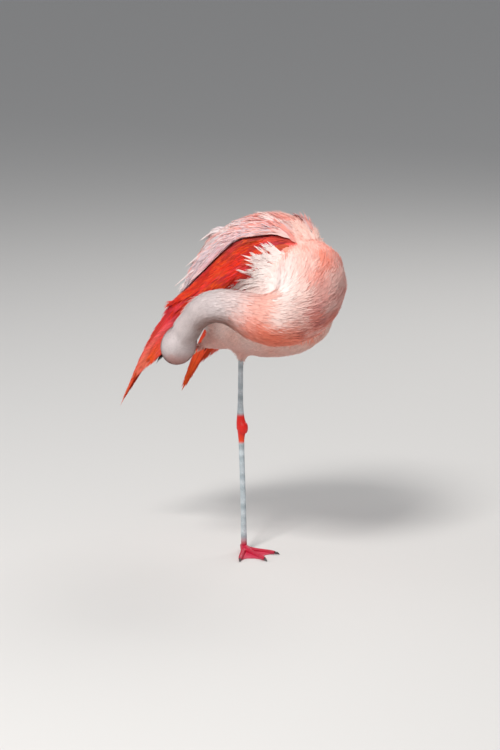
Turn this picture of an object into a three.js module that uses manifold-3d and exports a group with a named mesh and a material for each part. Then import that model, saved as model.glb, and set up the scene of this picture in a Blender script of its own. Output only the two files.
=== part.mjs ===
// A Chilean flamingo at life size, standing on its right leg and preening under its right wing.
// Millimetres. +X is the way the body faces, +Y its left, +Z up; the origin is on the floor,
// under the palm of the standing foot.

import * as THREE from 'three';
import { mergeVertices } from 'three/addons/utils/BufferGeometryUtils.js';
import Module from 'manifold-3d';

const wasm = await Module();
wasm.setup();

// ---- driving dimensions -------------------------------------------------------------------

const gap = 0.35;            // clearance between pieces that touch
const poleMargin = 1e-6;     // how near the end of a sphere counts as its pole
const mergeDistance = 1e-4;  // vertices nearer than this are one
const bodyY = 12;            // the body's middle plane, left of the standing leg
const ankleHeight = 222;     // middle of the standing leg's ankle above the floor
const shankBottom = 9;       // where the standing shank meets the foot
const ankleX = -6;           // the ankle stands a little behind the foot
const hockX = -9;            // where the bare leg enters the thigh feathers
const thighBottom = 341;     // lower end of the thigh feathers
const toeLength = 80;        // middle front toe, with its claw
const toeOut = 20;           // degrees that the standing foot turns outward
const clawLength = 9;
const webThick = 1.6;
const webShare = 0.92;       // how far along a toe its web reaches
const webNotch = 0.62;       // how deep the web's free edge is cut in
const headTurn = {           // the way the bill points, and the way the crown faces
  forward: [-0.45, 0.85, -0.10],
  crown: [-0.32, -0.25, -0.91],
};
const headCentre = [-28, -137, 391];

// ---- colours ------------------------------------------------------------------------------

function finish(colour, roughness = 0.8) {
  return new THREE.MeshStandardMaterial({ color: colour, roughness, metalness: 0 });
}

const palePlumage = finish(0xf4c9c0);
const whitePlumage = finish(0xf6e4e0);
const neckPlumage = finish(0xf0d8d4);
const redPlumage = finish(0xf0402c);
const blackQuill = finish(0x241a1c);
const legSkin = finish(0xbfc7d0, 0.55);
const jointSkin = finish(0xf02c20, 0.5);
const footSkin = finish(0xc81c4a, 0.55);
const clawHorn = finish(0x3a2a2c, 0.4);
const billBase = finish(0xe8c4bc, 0.4);
const billHorn = finish(0xd9b0aa, 0.4);
const eyeGlass = finish(0xe8d890, 0.15);

// ---- small helpers ------------------------------------------------------------------------

const vector = (p) => new THREE.Vector3(...p);
const bodyPoint = (x, y, z) => new THREE.Vector3(x, bodyY + y, z);

// A smooth value along 0..1 through evenly spaced stations.
function along(values) {
  return (t) => {
    const x = Math.min(Math.max(t, 0), 1) * (values.length - 1);
    const i = Math.min(Math.floor(x), values.length - 2);
    const f = x - i;
    const a = values[Math.max(i - 1, 0)];
    const b = values[i];
    const c = values[i + 1];
    const d = values[Math.min(i + 2, values.length - 1)];
    const m0 = (c - a) / 2;
    const m1 = (d - b) / 2;
    return (2 * f ** 3 - 3 * f ** 2 + 1) * b + (f ** 3 - 2 * f ** 2 + f) * m0
      + (3 * f ** 2 - 2 * f ** 3) * c + (f ** 3 - f ** 2) * m1;
  };
}

// Rounds both ends of a sweep over the given share of its length.
function rounded(t, start, end) {
  const a = start > 0 && t < start ? Math.sqrt(Math.max(0, 1 - (1 - t / start) ** 2)) : 1;
  const b = end > 0 && t > 1 - end ? Math.sqrt(Math.max(0, 1 - (1 - (1 - t) / end) ** 2)) : 1;
  return Math.min(a, b);
}

// A closed form swept along a smooth path. `high` is its half size towards `up`, `wide` its half
// size across, both as stations along the path; `square` ends are cut off flat.
function sweep({ path, up, high, wide, sides = 16, rows = 14, start = 0.15, end = 0.15,
  square = false, grow = 0 }) {
  const points = path.map((p) => (p.isVector3 ? p.clone() : vector(p)));
  const first = points[0].clone().sub(points[1]).setLength(grow);
  const last = points.at(-1).clone().sub(points.at(-2)).setLength(grow);
  if (grow > 0) {
    points[0].add(first);
    points[points.length - 1].add(last);
  }
  const curve = new THREE.CatmullRomCurve3(points, false, 'centripetal');
  const highAt = along(high);
  const wideAt = along(wide);
  const upAt = [0, 1, 2].map((k) => along(up.map((v) => v[k])));
  const geometry = new THREE.SphereGeometry(1, sides, rows);
  const position = geometry.attributes.position;
  const margin = square ? (1 - Math.cos(Math.PI / rows)) / 2 : 0;
  for (let i = 0; i < position.count; i += 1) {
    const pole = Math.abs(position.getY(i)) > 1 - poleMargin;
    const share = (1 - position.getY(i)) / 2;
    const t = THREE.MathUtils.clamp((share - margin) / (1 - 2 * margin), 0, 1);
    const angle = Math.atan2(position.getZ(i), position.getX(i));
    const centre = curve.getPoint(t);
    const tangent = curve.getTangent(t);
    const above = new THREE.Vector3(upAt[0](t), upAt[1](t), upAt[2](t));
    above.addScaledVector(tangent, -above.dot(tangent)).normalize();
    const across = tangent.clone().cross(above);
    const cap = pole ? 0 : square ? 1 : rounded(t, start, end);
    centre.addScaledVector(above, Math.cos(angle) * (highAt(t) + grow) * cap);
    centre.addScaledVector(across, Math.sin(angle) * (wideAt(t) + grow) * cap);
    position.setXYZ(i, centre.x, centre.y, centre.z);
  }
  return solid(geometry);
}

// A three.js geometry as a closed solid, and back.
function solid(geometry) {
  const bare = geometry.clone();
  bare.deleteAttribute('normal');
  bare.deleteAttribute('uv');
  const merged = mergeVertices(bare, mergeDistance);
  const index = [];
  for (let i = 0; i < merged.index.count; i += 3) {
    const [a, b, c] = [0, 1, 2].map((k) => merged.index.getX(i + k));
    if (a !== b && b !== c && c !== a) index.push(a, b, c);
  }
  return new wasm.Manifold(new wasm.Mesh({
    numProp: 3,
    vertProperties: new Float32Array(merged.attributes.position.array),
    triVerts: new Uint32Array(index),
  }));
}

const flamingo = new THREE.Group();

function piece(name, form, material) {
  const { vertProperties, triVerts } = form.getMesh();
  const geometry = new THREE.BufferGeometry();
  geometry.setAttribute('position', new THREE.BufferAttribute(vertProperties, 3));
  geometry.setIndex(new THREE.BufferAttribute(triVerts, 1));
  geometry.computeVertexNormals();
  const mesh = new THREE.Mesh(geometry, material);
  mesh.name = name;
  flamingo.add(mesh);
  return mesh;
}

// The largest body of a form, without the slivers that a cut can leave.
function mainBody(form) {
  return form.decompose().sort((a, b) => b.volume() - a.volume())[0];
}

// A flat feather: `wide` across the vane, `thick` its half thickness, tapering to the tip.
function blade({ path, up, wide, thick = 1, grow = 0, rows = 7, sides = 6 }) {
  return sweep({
    path, up, high: [thick, thick, thick * 0.7, thick * 0.45], wide, sides, rows,
    start: 0.06, end: 0.22, grow,
  });
}

// Mirrors a form in the body's middle plane.
function mirrored(form) {
  return form.translate([0, -bodyY, 0]).mirror([0, 1, 0]).translate([0, bodyY, 0]);
}

const upright = [[0, 0, 1], [0, 0, 1]];
const facing = [[1, 0, 0], [1, 0, 0]];

// ---- trunk and tail -----------------------------------------------------------------------

function trunkForm(grow = 0) {
  const body = sweep({
    path: [bodyPoint(-120, 0, 398), bodyPoint(-60, 0, 428), bodyPoint(20, 0, 464),
      bodyPoint(96, 0, 501), bodyPoint(166, 0, 552)],
    up: upright,
    high: [20, 62, 107, 127, 135, 102],
    wide: [18, 50, 84, 92, 86, 70],
    sides: 20,
    rows: 15,
    start: 0.3,
    end: 0.44,
    grow,
  });
  const ventTuft = sweep({
    path: [bodyPoint(10, 0, 405), bodyPoint(-50, 0, 380), bodyPoint(-112, 0, 353)],
    up: upright,
    high: [40, 32, 20, 5],
    wide: [62, 52, 34, 12],
    sides: 12,
    rows: 7,
    start: 0.3,
    end: 0.2,
    grow,
  });
  return body.add(ventTuft);
}

function tailForm() {
  const feathers = [-1, 0, 1].map((i) => blade({
    path: [bodyPoint(-84, i * 8, 420), bodyPoint(-142, i * 16, 390 - i * i * 2),
      bodyPoint(-196, i * 20, 348)],
    up: [[0.5, i * 0.15, 0.8], [0.5, i * 0.2, 0.8]],
    wide: [12, 16, 16, 11],
    thick: 2.2,
    rows: 5,
  }));
  return wasm.Manifold.union(feathers);
}

// ---- neck and head ------------------------------------------------------------------------

const neckPath = [[106, 12, 543], [160, -14, 492], [163, -62, 456], [133, -103, 447],
  [100, -124, 460], [72, -140, 469], [37, -148, 459], [5, -145, 431], [-15, -146, 404]];

function neckForm(grow = 0) {
  return sweep({
    path: neckPath,
    up: [[0, 0, 1], [0.3, 0, 1], [0, 0, 1], [0, 0, 1], [-0.6, 0, 0.8]],
    high: [70, 65, 52, 41, 32, 28.5, 24.5, 29],
    wide: [68, 60, 48, 37, 29, 25.5, 23.5, 29],
    sides: 14,
    rows: 22,
    start: 0.1,
    end: 0.06,
    grow,
  });
}

// The stretch of a form between two planes that cross the neck at the given route points.
function between(form, from, to) {
  const cutAt = (index, side) => {
    const normal = vector(neckPath[index + 1]).sub(vector(neckPath[index - 1])).normalize();
    const offset = normal.dot(vector(neckPath[index]));
    return side > 0 ? [normal.toArray(), offset + gap / 2]
      : [normal.negate().toArray(), -offset + gap / 2];
  };
  let part = form;
  if (from !== null) part = part.trimByPlane(...cutAt(from, 1));
  if (to !== null) part = part.trimByPlane(...cutAt(to, -1));
  return part;
}

const forward = vector(headTurn.forward).normalize();
const crown = vector(headTurn.crown);
crown.addScaledVector(forward, -crown.dot(forward)).normalize();
const leftward = crown.clone().cross(forward);

// A point in the head's own frame: ahead, to its left, and towards the crown.
function headPoint(ahead, left, above) {
  return vector(headCentre)
    .addScaledVector(forward, ahead)
    .addScaledVector(leftward, left)
    .addScaledVector(crown, above);
}

const crownUp = [crown.toArray(), crown.toArray()];
const billUp = [crown.toArray(), crown.toArray(), forward.toArray(), forward.toArray()];

function headForm(grow = 0) {
  return sweep({
    path: [headPoint(-40, 0, -4), headPoint(-10, 0, 2), headPoint(16, 0, -1), headPoint(38, 0, -8)],
    up: crownUp,
    high: [30, 39.5, 34, 20],
    wide: [26, 33.5, 27, 14],
    sides: 16,
    rows: 12,
    start: 0.5,
    end: 0.12,
    grow,
  });
}

function upperBillForm(grow = 0) {
  return sweep({
    path: [headPoint(38.5, 0, 1), headPoint(56, 0, 2), headPoint(74, 0, -6), headPoint(86, 0, -24),
      headPoint(88, 0, -46)],
    up: billUp,
    high: [11, 9, 7.5, 5.5, 3.5],
    wide: [11, 10.5, 10, 8, 4.5],
    sides: 10,
    rows: 11,
    start: 0.05,
    end: 0.15,
    grow,
  });
}

function lowerBillForm(grow = 0) {
  return sweep({
    path: [headPoint(38.5, 0, -15), headPoint(54, 0, -17), headPoint(67, 0, -26), headPoint(75, 0, -42)],
    up: billUp,
    high: [7, 10, 10, 4],
    wide: [10, 9, 8.5, 4],
    sides: 10,
    rows: 9,
    start: 0.05,
    end: 0.15,
    grow,
  });
}

const eyeRadius = 5.6;

function eyeForm(side, grow = 0) {
  const ball = new THREE.SphereGeometry(eyeRadius + grow, 10, 6);
  ball.translate(...headPoint(15, side * 23.5, 5).toArray());
  return solid(ball);
}

// ---- legs ---------------------------------------------------------------------------------

function limb(points, high, wide, options = {}) {
  return sweep({
    path: points, up: facing, high, wide, sides: 10, rows: 7, square: true, ...options,
  });
}

const toes = [
  { name: 'inner', turn: 38, length: 58, thick: 4.6 },
  { name: 'middle', turn: 0, length: toeLength - clawLength, thick: 5 },
  { name: 'outer', turn: -36, length: 64, thick: 4.6 },
];

// One foot with its toes along +X and its palm over the origin. `spread` closes the toes,
// `curl` drops their ends and `side` is 1 for a left foot, -1 for a right one.
function footForms({ spread, curl, side }) {
  const palm = sweep({
    path: [[-8, 0, 5], [2, 0, 6], [16, 0, 4.5]], up: upright, high: [5, 7.5, 5], wide: [5, 7.5, 7],
    sides: 8, rows: 6, start: 0.3, end: 0.3,
  });
  const hindToe = sweep({
    path: [[-4, 0, 12], [-10, side * -1, 9], [-16, side * -2, 4]], up: upright, high: [3, 3, 2.2],
    wide: [3, 2.8, 2], sides: 6, rows: 5, start: 0.2, end: 0.3,
  });
  const claws = {};
  const digits = toes.map(({ name, turn, length, thick }) => {
    const angle = THREE.MathUtils.degToRad(turn * spread * -side);
    const reach = (r, lift) => [r * Math.cos(angle), r * Math.sin(angle), lift - curl * (r / 70) ** 2];
    claws[name] = sweep({
      path: [reach(length + gap, 3.4), reach(length + clawLength * 0.6, 3.2),
        reach(length + clawLength, 1.2)],
      up: upright, high: [2.6, 2, 0.8], wide: [2.3, 1.8, 0.7], sides: 6, rows: 4, square: true,
    });
    return sweep({
      path: [reach(4, 5), reach(length * 0.5, 4.2), reach(length, 3.6)],
      up: upright,
      high: [thick + 1, thick, thick - 0.7, thick, thick - 0.9, thick - 0.6, thick - 1.4],
      wide: [thick + 1.5, thick + 0.4, thick - 0.4, thick + 0.4, thick - 0.5, thick - 0.2, thick - 1.4],
      sides: 6,
      rows: 7,
      square: true,
    });
  });
  const webs = [[toes[0], toes[1]], [toes[1], toes[2]]].map(([a, b]) => {
    const corner = (toe, share) => {
      const angle = THREE.MathUtils.degToRad(toe.turn * spread * -side);
      return [toe.length * share * Math.cos(angle), toe.length * share * Math.sin(angle)];
    };
    const outline = new THREE.Shape();
    outline.moveTo(4, 0);
    outline.lineTo(...corner(a, webShare));
    const notch = [0, 1].map((k) => (corner(a, webNotch)[k] + corner(b, webNotch)[k]) / 2);
    outline.quadraticCurveTo(...notch, ...corner(b, webShare));
    outline.lineTo(4, 0);
    return solid(new THREE.ExtrudeGeometry(outline, {
      depth: webThick, bevelEnabled: false, curveSegments: 3,
    }));
  });
  const shape = wasm.Manifold.union([palm, hindToe, ...digits, ...(curl > 0 ? [] : webs)]);
  return { shape, claws };
}

function standingLeg(grow = 0) {
  const shank = limb([[0, 0, shankBottom + 6], [-2, 0, 90], [ankleX, 0, ankleHeight - 22]],
    [5.6, 4.6, 4.7, 5.4], [5.2, 4.2, 4.3, 4.8], { grow });
  const ankle = limb([[ankleX, 0, ankleHeight - 21.6], [ankleX + 1, 0, ankleHeight],
    [hockX + 1, 0, ankleHeight + 24]], [5.6, 8.5, 11, 8, 5.2], [5, 7.5, 9, 7, 4.8], { grow });
  const tibia = limb([[hockX + 1, 0, ankleHeight + 22], [hockX, 2, thighBottom + 2]],
    [4.8, 4, 4.4], [4.5, 3.8, 4.2], { rows: 5, grow });
  const thigh = limb([[hockX, 2, thighBottom], [hockX + 4, 2, 362], [hockX + 16, 4, 400]],
    [6, 15, 28, 34], [6, 14, 26, 30], { grow });
  return { shank, ankle, tibia, thigh };
}

function standingFoot() {
  const { shape, claws } = footForms({ spread: 1, curl: 0, side: -1 });
  const place = (form) => form.rotate([0, 0, -toeOut]).trimByPlane([0, 0, 1], 0);
  return { foot: place(shape), claws, place };
}

// The left leg is folded: its ankle shows behind the belly, and its shank lies along it.
const foldedAnkle = [-82, 54, 362];
const foldedFoot = [112, 50, 396];
const foldTurn = 158;

function foldedLeg(grow = 0) {
  const back = vector(foldedAnkle);
  const reach = vector(foldedFoot).sub(back);
  const at = (d) => back.clone().addScaledVector(reach.clone().normalize(), d).toArray();
  const shank = limb([at(21.6), at(reach.length() / 2), at(reach.length() - 8)],
    [5.4, 4.7, 4.6, 5.6], [4.8, 4.3, 4.2, 5.2], { up: upright, grow });
  const ankle = sweep({
    path: [at(21), back.toArray(), [-64, 54, 378]], up: [[0, 0, -1], [-1, 0, 0.3]],
    high: [5.6, 8.5, 11, 8, 5.2], wide: [5, 7.5, 9, 7, 4.8], sides: 10, rows: 7, square: true, grow,
  });
  const tibia = limb([[-63.6, 54, 378.4], [-46, 52, 392]], [4.6, 4.2], [4.2, 4],
    { up: upright, rows: 4, grow });
  const thigh = limb([[-50, 52, 388], [-20, 50, 404], [30, 44, 430]], [8, 22, 36, 40],
    [8, 18, 26, 30], { up: upright, grow });
  return { shank, ankle, tibia, thigh };
}

// The folded foot is closed and lies back from the front end of that shank, half sunk in the
// belly plumage; `pocket` is the room it takes there.
function foldedToes() {
  const { shape, claws } = footForms({ spread: 0.22, curl: 4, side: 1 });
  const fold = new THREE.Matrix4().makeTranslation(...foldedFoot)
    .multiply(new THREE.Matrix4().makeRotationY(THREE.MathUtils.degToRad(foldTurn)))
    .multiply(new THREE.Matrix4().makeTranslation(0, 0, -2));
  const place = (form) => form.transform(fold.toArray());
  const pocket = sweep({
    path: [[-22, 0, 7], [30, 0, 5], [toeLength + 12, 0, 0]], up: upright, high: [9, 10, 9, 8],
    wide: [8, 13, 18, 18], sides: 8, rows: 7, start: 0.2, end: 0.15,
  });
  return { foot: place(shape), claws, place, pocket: place(pocket) };
}

// ---- right wing, and the back plumage over it ---------------------------------------------

const wingRise = [[0.3, 0.7, 1], [0.45, 0.5, 0.8], [0.75, 0.25, 0.6], [0.8, 0.1, 0.5]];

function wingForm(grow = 0) {
  return sweep({
    path: [bodyPoint(108, -32, 570), bodyPoint(54, -74, 539), bodyPoint(-12, -84, 493),
      bodyPoint(-60, -79, 452), bodyPoint(-88, -77, 416), bodyPoint(-108, -80, 378)],
    up: wingRise,
    high: [18, 44, 58, 58, 28, 9],
    wide: [15, 20, 20, 15, 8, 3.5],
    sides: 10,
    rows: 11,
    start: 0.15,
    end: 0.12,
    grow,
  });
}

// The long red tertial plumes, from the one with the lowest tip to the shortest.
const plumes = [
  { tip: [-229, -83, 241], middle: [-150, -82, 372], root: [-70, -78, 470], wide: [8, 12, 11, 6] },
  { tip: [-212, -80, 268], middle: [-142, -76, 378], root: [-70, -72, 462], wide: [8, 12, 12, 6] },
  { tip: [-196, -86, 296], middle: [-132, -90, 372], root: [-66, -84, 446], wide: [8, 13, 13, 8] },
  { tip: [-166, -96, 322], middle: [-118, -98, 376], root: [-60, -88, 430], wide: [8, 14, 16, 10] },
  { tip: [-142, -100, 338], middle: [-104, -100, 378], root: [-56, -88, 420], wide: [8, 13, 15, 9] },
];

function plumeForms(grow = 0) {
  return plumes.map(({ tip, middle, root, wide }, i) => blade({
    path: [bodyPoint(...root), bodyPoint(...middle), bodyPoint(...tip)],
    up: [[-0.3, -0.9, 0.1], [-0.2 + i * 0.05, -0.9, 0.2]],
    wide,
    thick: 1.6,
    rows: 5,
    grow,
  }));
}

const primaryCount = 3;

function primaryForm() {
  const quills = [];
  for (let i = 0; i < primaryCount; i += 1) {
    quills.push(blade({
      path: [bodyPoint(-70, -58, 424 + i * 9), bodyPoint(-104, -58, 388 + i * 7),
        bodyPoint(-136 - i * 11, -62, 352 - i * 11)],
      up: [[-0.2, -0.95, 0.1], [-0.2, -0.95, 0.1]],
      wide: [9, 11, 10, 6],
      thick: 2.2,
      rows: 5,
      sides: 4,
    }));
  }
  return wasm.Manifold.union(quills);
}

// Where the free tips of the longest back feathers end, from the front one to the rear one.
const mantleTips = [[-77, -28, 553], [-100, -42, 506], [-112, -58, 472], [-130, -68, 428]];

function mantleForm(grow = 0) {
  const drape = sweep({
    path: [bodyPoint(140, -26, 556), bodyPoint(82, -27, 583), bodyPoint(16, -37, 577),
      bodyPoint(-40, -44, 546), bodyPoint(-80, -52, 500), bodyPoint(-108, -64, 456)],
    up: [[0.2, -0.25, 1], [-0.15, -0.42, 1], [-0.6, -0.65, 0.6], [-0.8, -0.6, 0.3]],
    high: [15, 17, 16, 14, 9, 4],
    wide: [22, 33, 42, 44, 38, 14],
    sides: 10,
    rows: 11,
    start: 0.2,
    end: 0.15,
    grow,
  });
  const tips = mantleTips.map(([x, y, z], i) => blade({
    path: [bodyPoint(x + 62 - i * 6, y * 0.9 - 4, z + 22 + i * 12),
      bodyPoint(x + 30, y * 0.95 - 3, z + 16 + i * 4), bodyPoint(x, y, z)],
    up: [[-0.5, -0.5, 0.7], [-0.6, -0.5, 0.5]],
    wide: [7, 10, 9, 5],
    thick: 1.6,
    rows: 4,
    grow,
  }));
  return wasm.Manifold.union([drape, ...tips]);
}

// ---- the whole bird -----------------------------------------------------------------------

const upperBill = upperBillForm();
const upperBillSpace = upperBillForm(gap);
const headSpace = headForm(gap);
const trunkSpace = trunkForm(gap);
const wingSpace = wingForm(gap);
const neckSpace = neckForm(gap);

const billSpace = upperBillSpace.add(lowerBillForm(gap));
const folded = foldedLeg();
const foldedSpace = foldedLeg(gap);
const bareLeft = foldedSpace.shank.add(foldedSpace.ankle).add(foldedSpace.tibia);
const left = foldedToes();
const trunk = trunkForm().subtract(bareLeft).subtract(left.pocket).subtract(billSpace);
piece('trunk', mainBody(trunk), palePlumage);
piece('tail', mainBody(tailForm().subtract(trunkSpace)), palePlumage);

const neck = neckForm().subtract(trunkSpace).subtract(headSpace);
piece('neck_base', between(neck, null, 3), neckPlumage);
piece('neck_middle', between(neck, 3, 6), neckPlumage);
piece('neck_upper', between(neck, 6, null), neckPlumage);

const sockets = [-1, 1].map((side) => eyeForm(side, gap));
piece('head', headForm().subtract(sockets[0]).subtract(sockets[1]), neckPlumage);
piece('eye_right', eyeForm(-1), eyeGlass);
piece('eye_left', eyeForm(1), eyeGlass);
piece('bill_upper', upperBill.subtract(headSpace), billBase);
piece('bill_lower', lowerBillForm().subtract(upperBillSpace).subtract(headSpace), billHorn);

const standing = standingLeg();
const standingSpace = standingLeg(gap);
const right = standingFoot();
piece('thigh_right', standing.thigh.subtract(trunkSpace), palePlumage);
piece('tibia_right', standing.tibia.subtract(standingSpace.thigh).subtract(standingSpace.ankle), legSkin);
piece('ankle_right', standing.ankle, jointSkin);
piece('shank_right', standing.shank.subtract(standingSpace.ankle), legSkin);
piece('foot_right', right.foot.subtract(standingSpace.shank), footSkin);
for (const [toe, claw] of Object.entries(right.claws)) {
  piece(`claw_right_${toe}`, right.place(claw), clawHorn);
}

piece('thigh_left', mainBody(folded.thigh.subtract(trunkSpace).subtract(bareLeft)), palePlumage);
piece('tibia_left', folded.tibia, legSkin);
piece('ankle_left', folded.ankle, jointSkin);
piece('shank_left', folded.shank, legSkin);
piece('foot_left', mainBody(left.foot.subtract(foldedSpace.shank)), footSkin);
for (const [toe, claw] of Object.entries(left.claws)) {
  piece(`claw_left_${toe}`, left.place(claw), clawHorn);
}

const wing = wasm.Manifold.union([wingForm(), ...plumeForms()]);
const mantle = mantleForm().subtract(wingSpace);
const primaries = primaryForm().subtract(wingSpace);
const overSide = [[0, -1, 0], -bodyY + gap / 2];
for (const [side, place] of [['right', (form) => form], ['left', mirrored]]) {
  const clear = (form) => mainBody(
    place(form).subtract(trunkSpace).subtract(neckSpace).subtract(billSpace),
  );
  piece(`wing_${side}`, clear(wing), redPlumage);
  piece(`mantle_${side}`, clear(mantle.trimByPlane(...overSide)), whitePlumage);
  piece(`primaries_${side}`, clear(primaries), blackQuill);
}

export default flamingo;
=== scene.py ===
import math
import random
from functools import partial

import bmesh
import bpy
import numpy as np
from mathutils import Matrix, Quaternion, Vector
from mathutils.bvhtree import BVHTree


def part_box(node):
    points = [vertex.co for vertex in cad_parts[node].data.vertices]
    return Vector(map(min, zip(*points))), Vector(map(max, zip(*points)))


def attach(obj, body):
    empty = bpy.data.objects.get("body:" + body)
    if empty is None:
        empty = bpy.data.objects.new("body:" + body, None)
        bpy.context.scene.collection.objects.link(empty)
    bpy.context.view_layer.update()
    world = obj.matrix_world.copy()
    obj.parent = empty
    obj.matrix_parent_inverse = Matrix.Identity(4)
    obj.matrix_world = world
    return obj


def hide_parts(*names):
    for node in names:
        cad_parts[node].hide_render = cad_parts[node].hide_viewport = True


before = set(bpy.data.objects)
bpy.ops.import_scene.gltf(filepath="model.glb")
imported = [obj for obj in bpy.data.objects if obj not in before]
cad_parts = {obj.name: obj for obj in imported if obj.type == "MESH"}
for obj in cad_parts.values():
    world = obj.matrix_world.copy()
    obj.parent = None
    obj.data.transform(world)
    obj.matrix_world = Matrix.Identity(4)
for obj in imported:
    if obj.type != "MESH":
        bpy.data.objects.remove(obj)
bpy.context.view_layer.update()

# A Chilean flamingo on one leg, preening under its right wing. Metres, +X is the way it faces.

mm = 0.001
bodyY = 12 * mm  # the body's middle plane, left of the standing leg
sides = ("right", "left")


def bodyPoints(points):
    return [Vector((x * mm, y * mm + bodyY, z * mm)) for x, y, z in points]


def plainPoints(points):
    return [Vector(p) * mm for p in points]


# The lines that the plumage follows, each from the head or the front towards the tail.
routes = {
    "trunk": bodyPoints([(166, 0, 552), (96, 0, 501), (20, 0, 464), (-60, 0, 428), (-120, 0, 398)]),
    "neck": plainPoints([(-15, -146, 404), (5, -145, 431), (37, -148, 459), (72, -140, 469),
                         (100, -124, 460), (133, -103, 447), (163, -62, 456), (160, -14, 492),
                         (106, 12, 543)]),
    "wing": bodyPoints([(108, -32, 570), (54, -74, 539), (-12, -84, 493), (-60, -79, 452),
                        (-88, -77, 416), (-108, -80, 378)]),
    "mantle": bodyPoints([(140, -26, 556), (82, -27, 583), (16, -37, 577), (-40, -44, 546),
                          (-80, -52, 500), (-108, -64, 456)]),
    "rim": bodyPoints([(122, -36, 572), (98, -47, 583), (72, -58, 580), (46, -67, 573),
                       (18, -74, 556), (-12, -78, 530), (-40, -81, 502), (-72, -81, 468),
                       (-108, -76, 430)]),
}


def mirrorY(points):
    return [Vector((p.x, 2 * bodyY - p.y, p.z)) for p in points]


def srgb(hexColour):
    parts = [int(hexColour[i:i + 2], 16) / 255 for i in (0, 2, 4)]
    return np.array([c / 12.92 if c <= 0.04045 else ((c + 0.055) / 1.055) ** 2.4 for c in parts])


def smoothstep(low, high, x):
    t = np.clip((x - low) / (high - low), 0, 1)
    return t * t * (3 - 2 * t)


def mix(a, b, t):
    t = np.asarray(t)[..., None]
    return a * (1 - t) + b * t


def newObject(name, data):
    thing = bpy.data.objects.new(name, data)
    bpy.context.scene.collection.objects.link(thing)
    return thing


def meshFrom(bm, mesh):
    # Writes a finished bmesh into a mesh, or into a new one of that name, and frees it.
    if isinstance(mesh, str):
        mesh = bpy.data.meshes.new(mesh)
    bm.to_mesh(mesh)
    bm.free()
    return mesh


def smoothShaded(mesh, tints=None):
    # Smooth shading, and each vertex's tint as a colour attribute for the materials.
    if tints is not None:
        colour = mesh.color_attributes.new("tint", "FLOAT_COLOR", "POINT")
        opaque = np.hstack([np.array(tints), np.ones((len(tints), 1))])
        colour.data.foreach_set("color", opaque.ravel())
    mesh.polygons.foreach_set("use_smooth", [True] * len(mesh.polygons))
    return mesh


def smoothVerts(bm, rounds, verts=None):
    for _ in range(rounds):
        bmesh.ops.smooth_vert(bm, verts=bm.verts if verts is None else verts, factor=0.5,
                              use_axis_x=True, use_axis_y=True, use_axis_z=True)


def aimed(name, data, place, target):
    # A camera or a lamp at its place, turned to look at the target.
    thing = newObject(name, data)
    thing.location = place
    aim = Vector(target) - Vector(place)
    thing.rotation_euler = aim.to_track_quat("-Z", "Y").to_euler()
    return thing


def boxCentre(node):
    low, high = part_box(node)
    return (low + high) / 2


view = {
    "eye": (3.0849, -3.6602, 1.3350),
    "target": (0.0080, 0.0067, 0.3175),
    "lens": 135,
    "sensor": 36,
}


def makeCamera():
    data = bpy.data.cameras.new("camera")
    data.lens = view["lens"]
    data.sensor_width = view["sensor"]
    bpy.context.scene.camera = aimed("camera", data, view["eye"], view["target"])


studio = {
    "key": {"place": (0.7, -2.3, 3.1), "size": 0.9, "watts": 118, "colour": (1.0, 0.98, 0.95)},
    "fill": {"place": (-2.8, -1.4, 1.6), "size": 2.4, "watts": 22, "colour": (0.93, 0.96, 1.0)},
    "back": {"place": (-0.4, 2.6, 2.8), "size": 2.2, "watts": 48, "colour": (1.0, 0.98, 0.95)},
    "aim": (0, 0, 0.42),
    "sky": (0.82, 0.84, 0.87),
    "skyStrength": 0.36,
    "floorSize": 40,
    "floorColour": (0.66, 0.65, 0.64),
    "floorRough": 0.85,
}


def makeStudio():
    for name in ("key", "fill", "back"):
        lamp = studio[name]
        data = bpy.data.lights.new(name, "AREA")
        data.energy = lamp["watts"]
        data.size = lamp["size"]
        data.color = lamp["colour"]
        aimed(name, data, lamp["place"], studio["aim"])
    world = bpy.data.worlds.new("studio")
    world.use_nodes = True
    sky = world.node_tree.nodes["Background"]
    sky.inputs["Color"].default_value = (*studio["sky"], 1)
    sky.inputs["Strength"].default_value = studio["skyStrength"]
    bpy.context.scene.world = world
    bpy.context.scene.view_settings.view_transform = "Standard"


def makeFloor():
    bm = bmesh.new()
    bmesh.ops.create_grid(bm, x_segments=1, y_segments=1, size=studio["floorSize"])
    floor = newObject("floor", meshFrom(bm, "floor"))
    material = bpy.data.materials.new("paleFloor")
    material.use_nodes = True
    shader = material.node_tree.nodes["Principled BSDF"]
    shader.inputs["Base Color"].default_value = (*studio["floorColour"], 1)
    shader.inputs["Roughness"].default_value = studio["floorRough"]
    floor.data.materials.append(material)


makeCamera()
makeStudio()
makeFloor()
print("camera, light and floor set")


def addNode(tree, kind, inputs=None, **settings):
    # A node with its settings, its inputs given as values or as other nodes' outputs.
    node = tree.nodes.new(kind)
    for key, value in settings.items():
        setattr(node, key, value)
    for key, value in (inputs or {}).items():
        if isinstance(value, bpy.types.NodeSocket):
            tree.links.new(value, node.inputs[key])
        else:
            node.inputs[key].default_value = value
    return node


def addMath(tree, operation, *values):
    return addNode(tree, "ShaderNodeMath", dict(enumerate(values)), operation=operation).outputs[0]


def addMix(tree, factor, a, b, blend="MIX"):
    return addNode(tree, "ShaderNodeMix", {0: factor, 6: a, 7: b}, data_type="RGBA",
                   blend_type=blend).outputs[2]


def addShade(tree, colour, level):
    # A colour times a grey level.
    grey = addNode(tree, "ShaderNodeCombineColor", {0: level, 1: level, 2: level})
    return addMix(tree, 1.0, colour, grey.outputs[0], "MULTIPLY")


def addNoise(tree, scale, detail=2):
    where = addNode(tree, "ShaderNodeTexCoord")
    return addNode(tree, "ShaderNodeTexNoise", {"Vector": where.outputs["Object"],
                                                "Scale": scale, "Detail": detail}).outputs["Fac"]


def addTint(tree):
    return addNode(tree, "ShaderNodeAttribute", attribute_name="tint").outputs["Color"]


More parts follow.
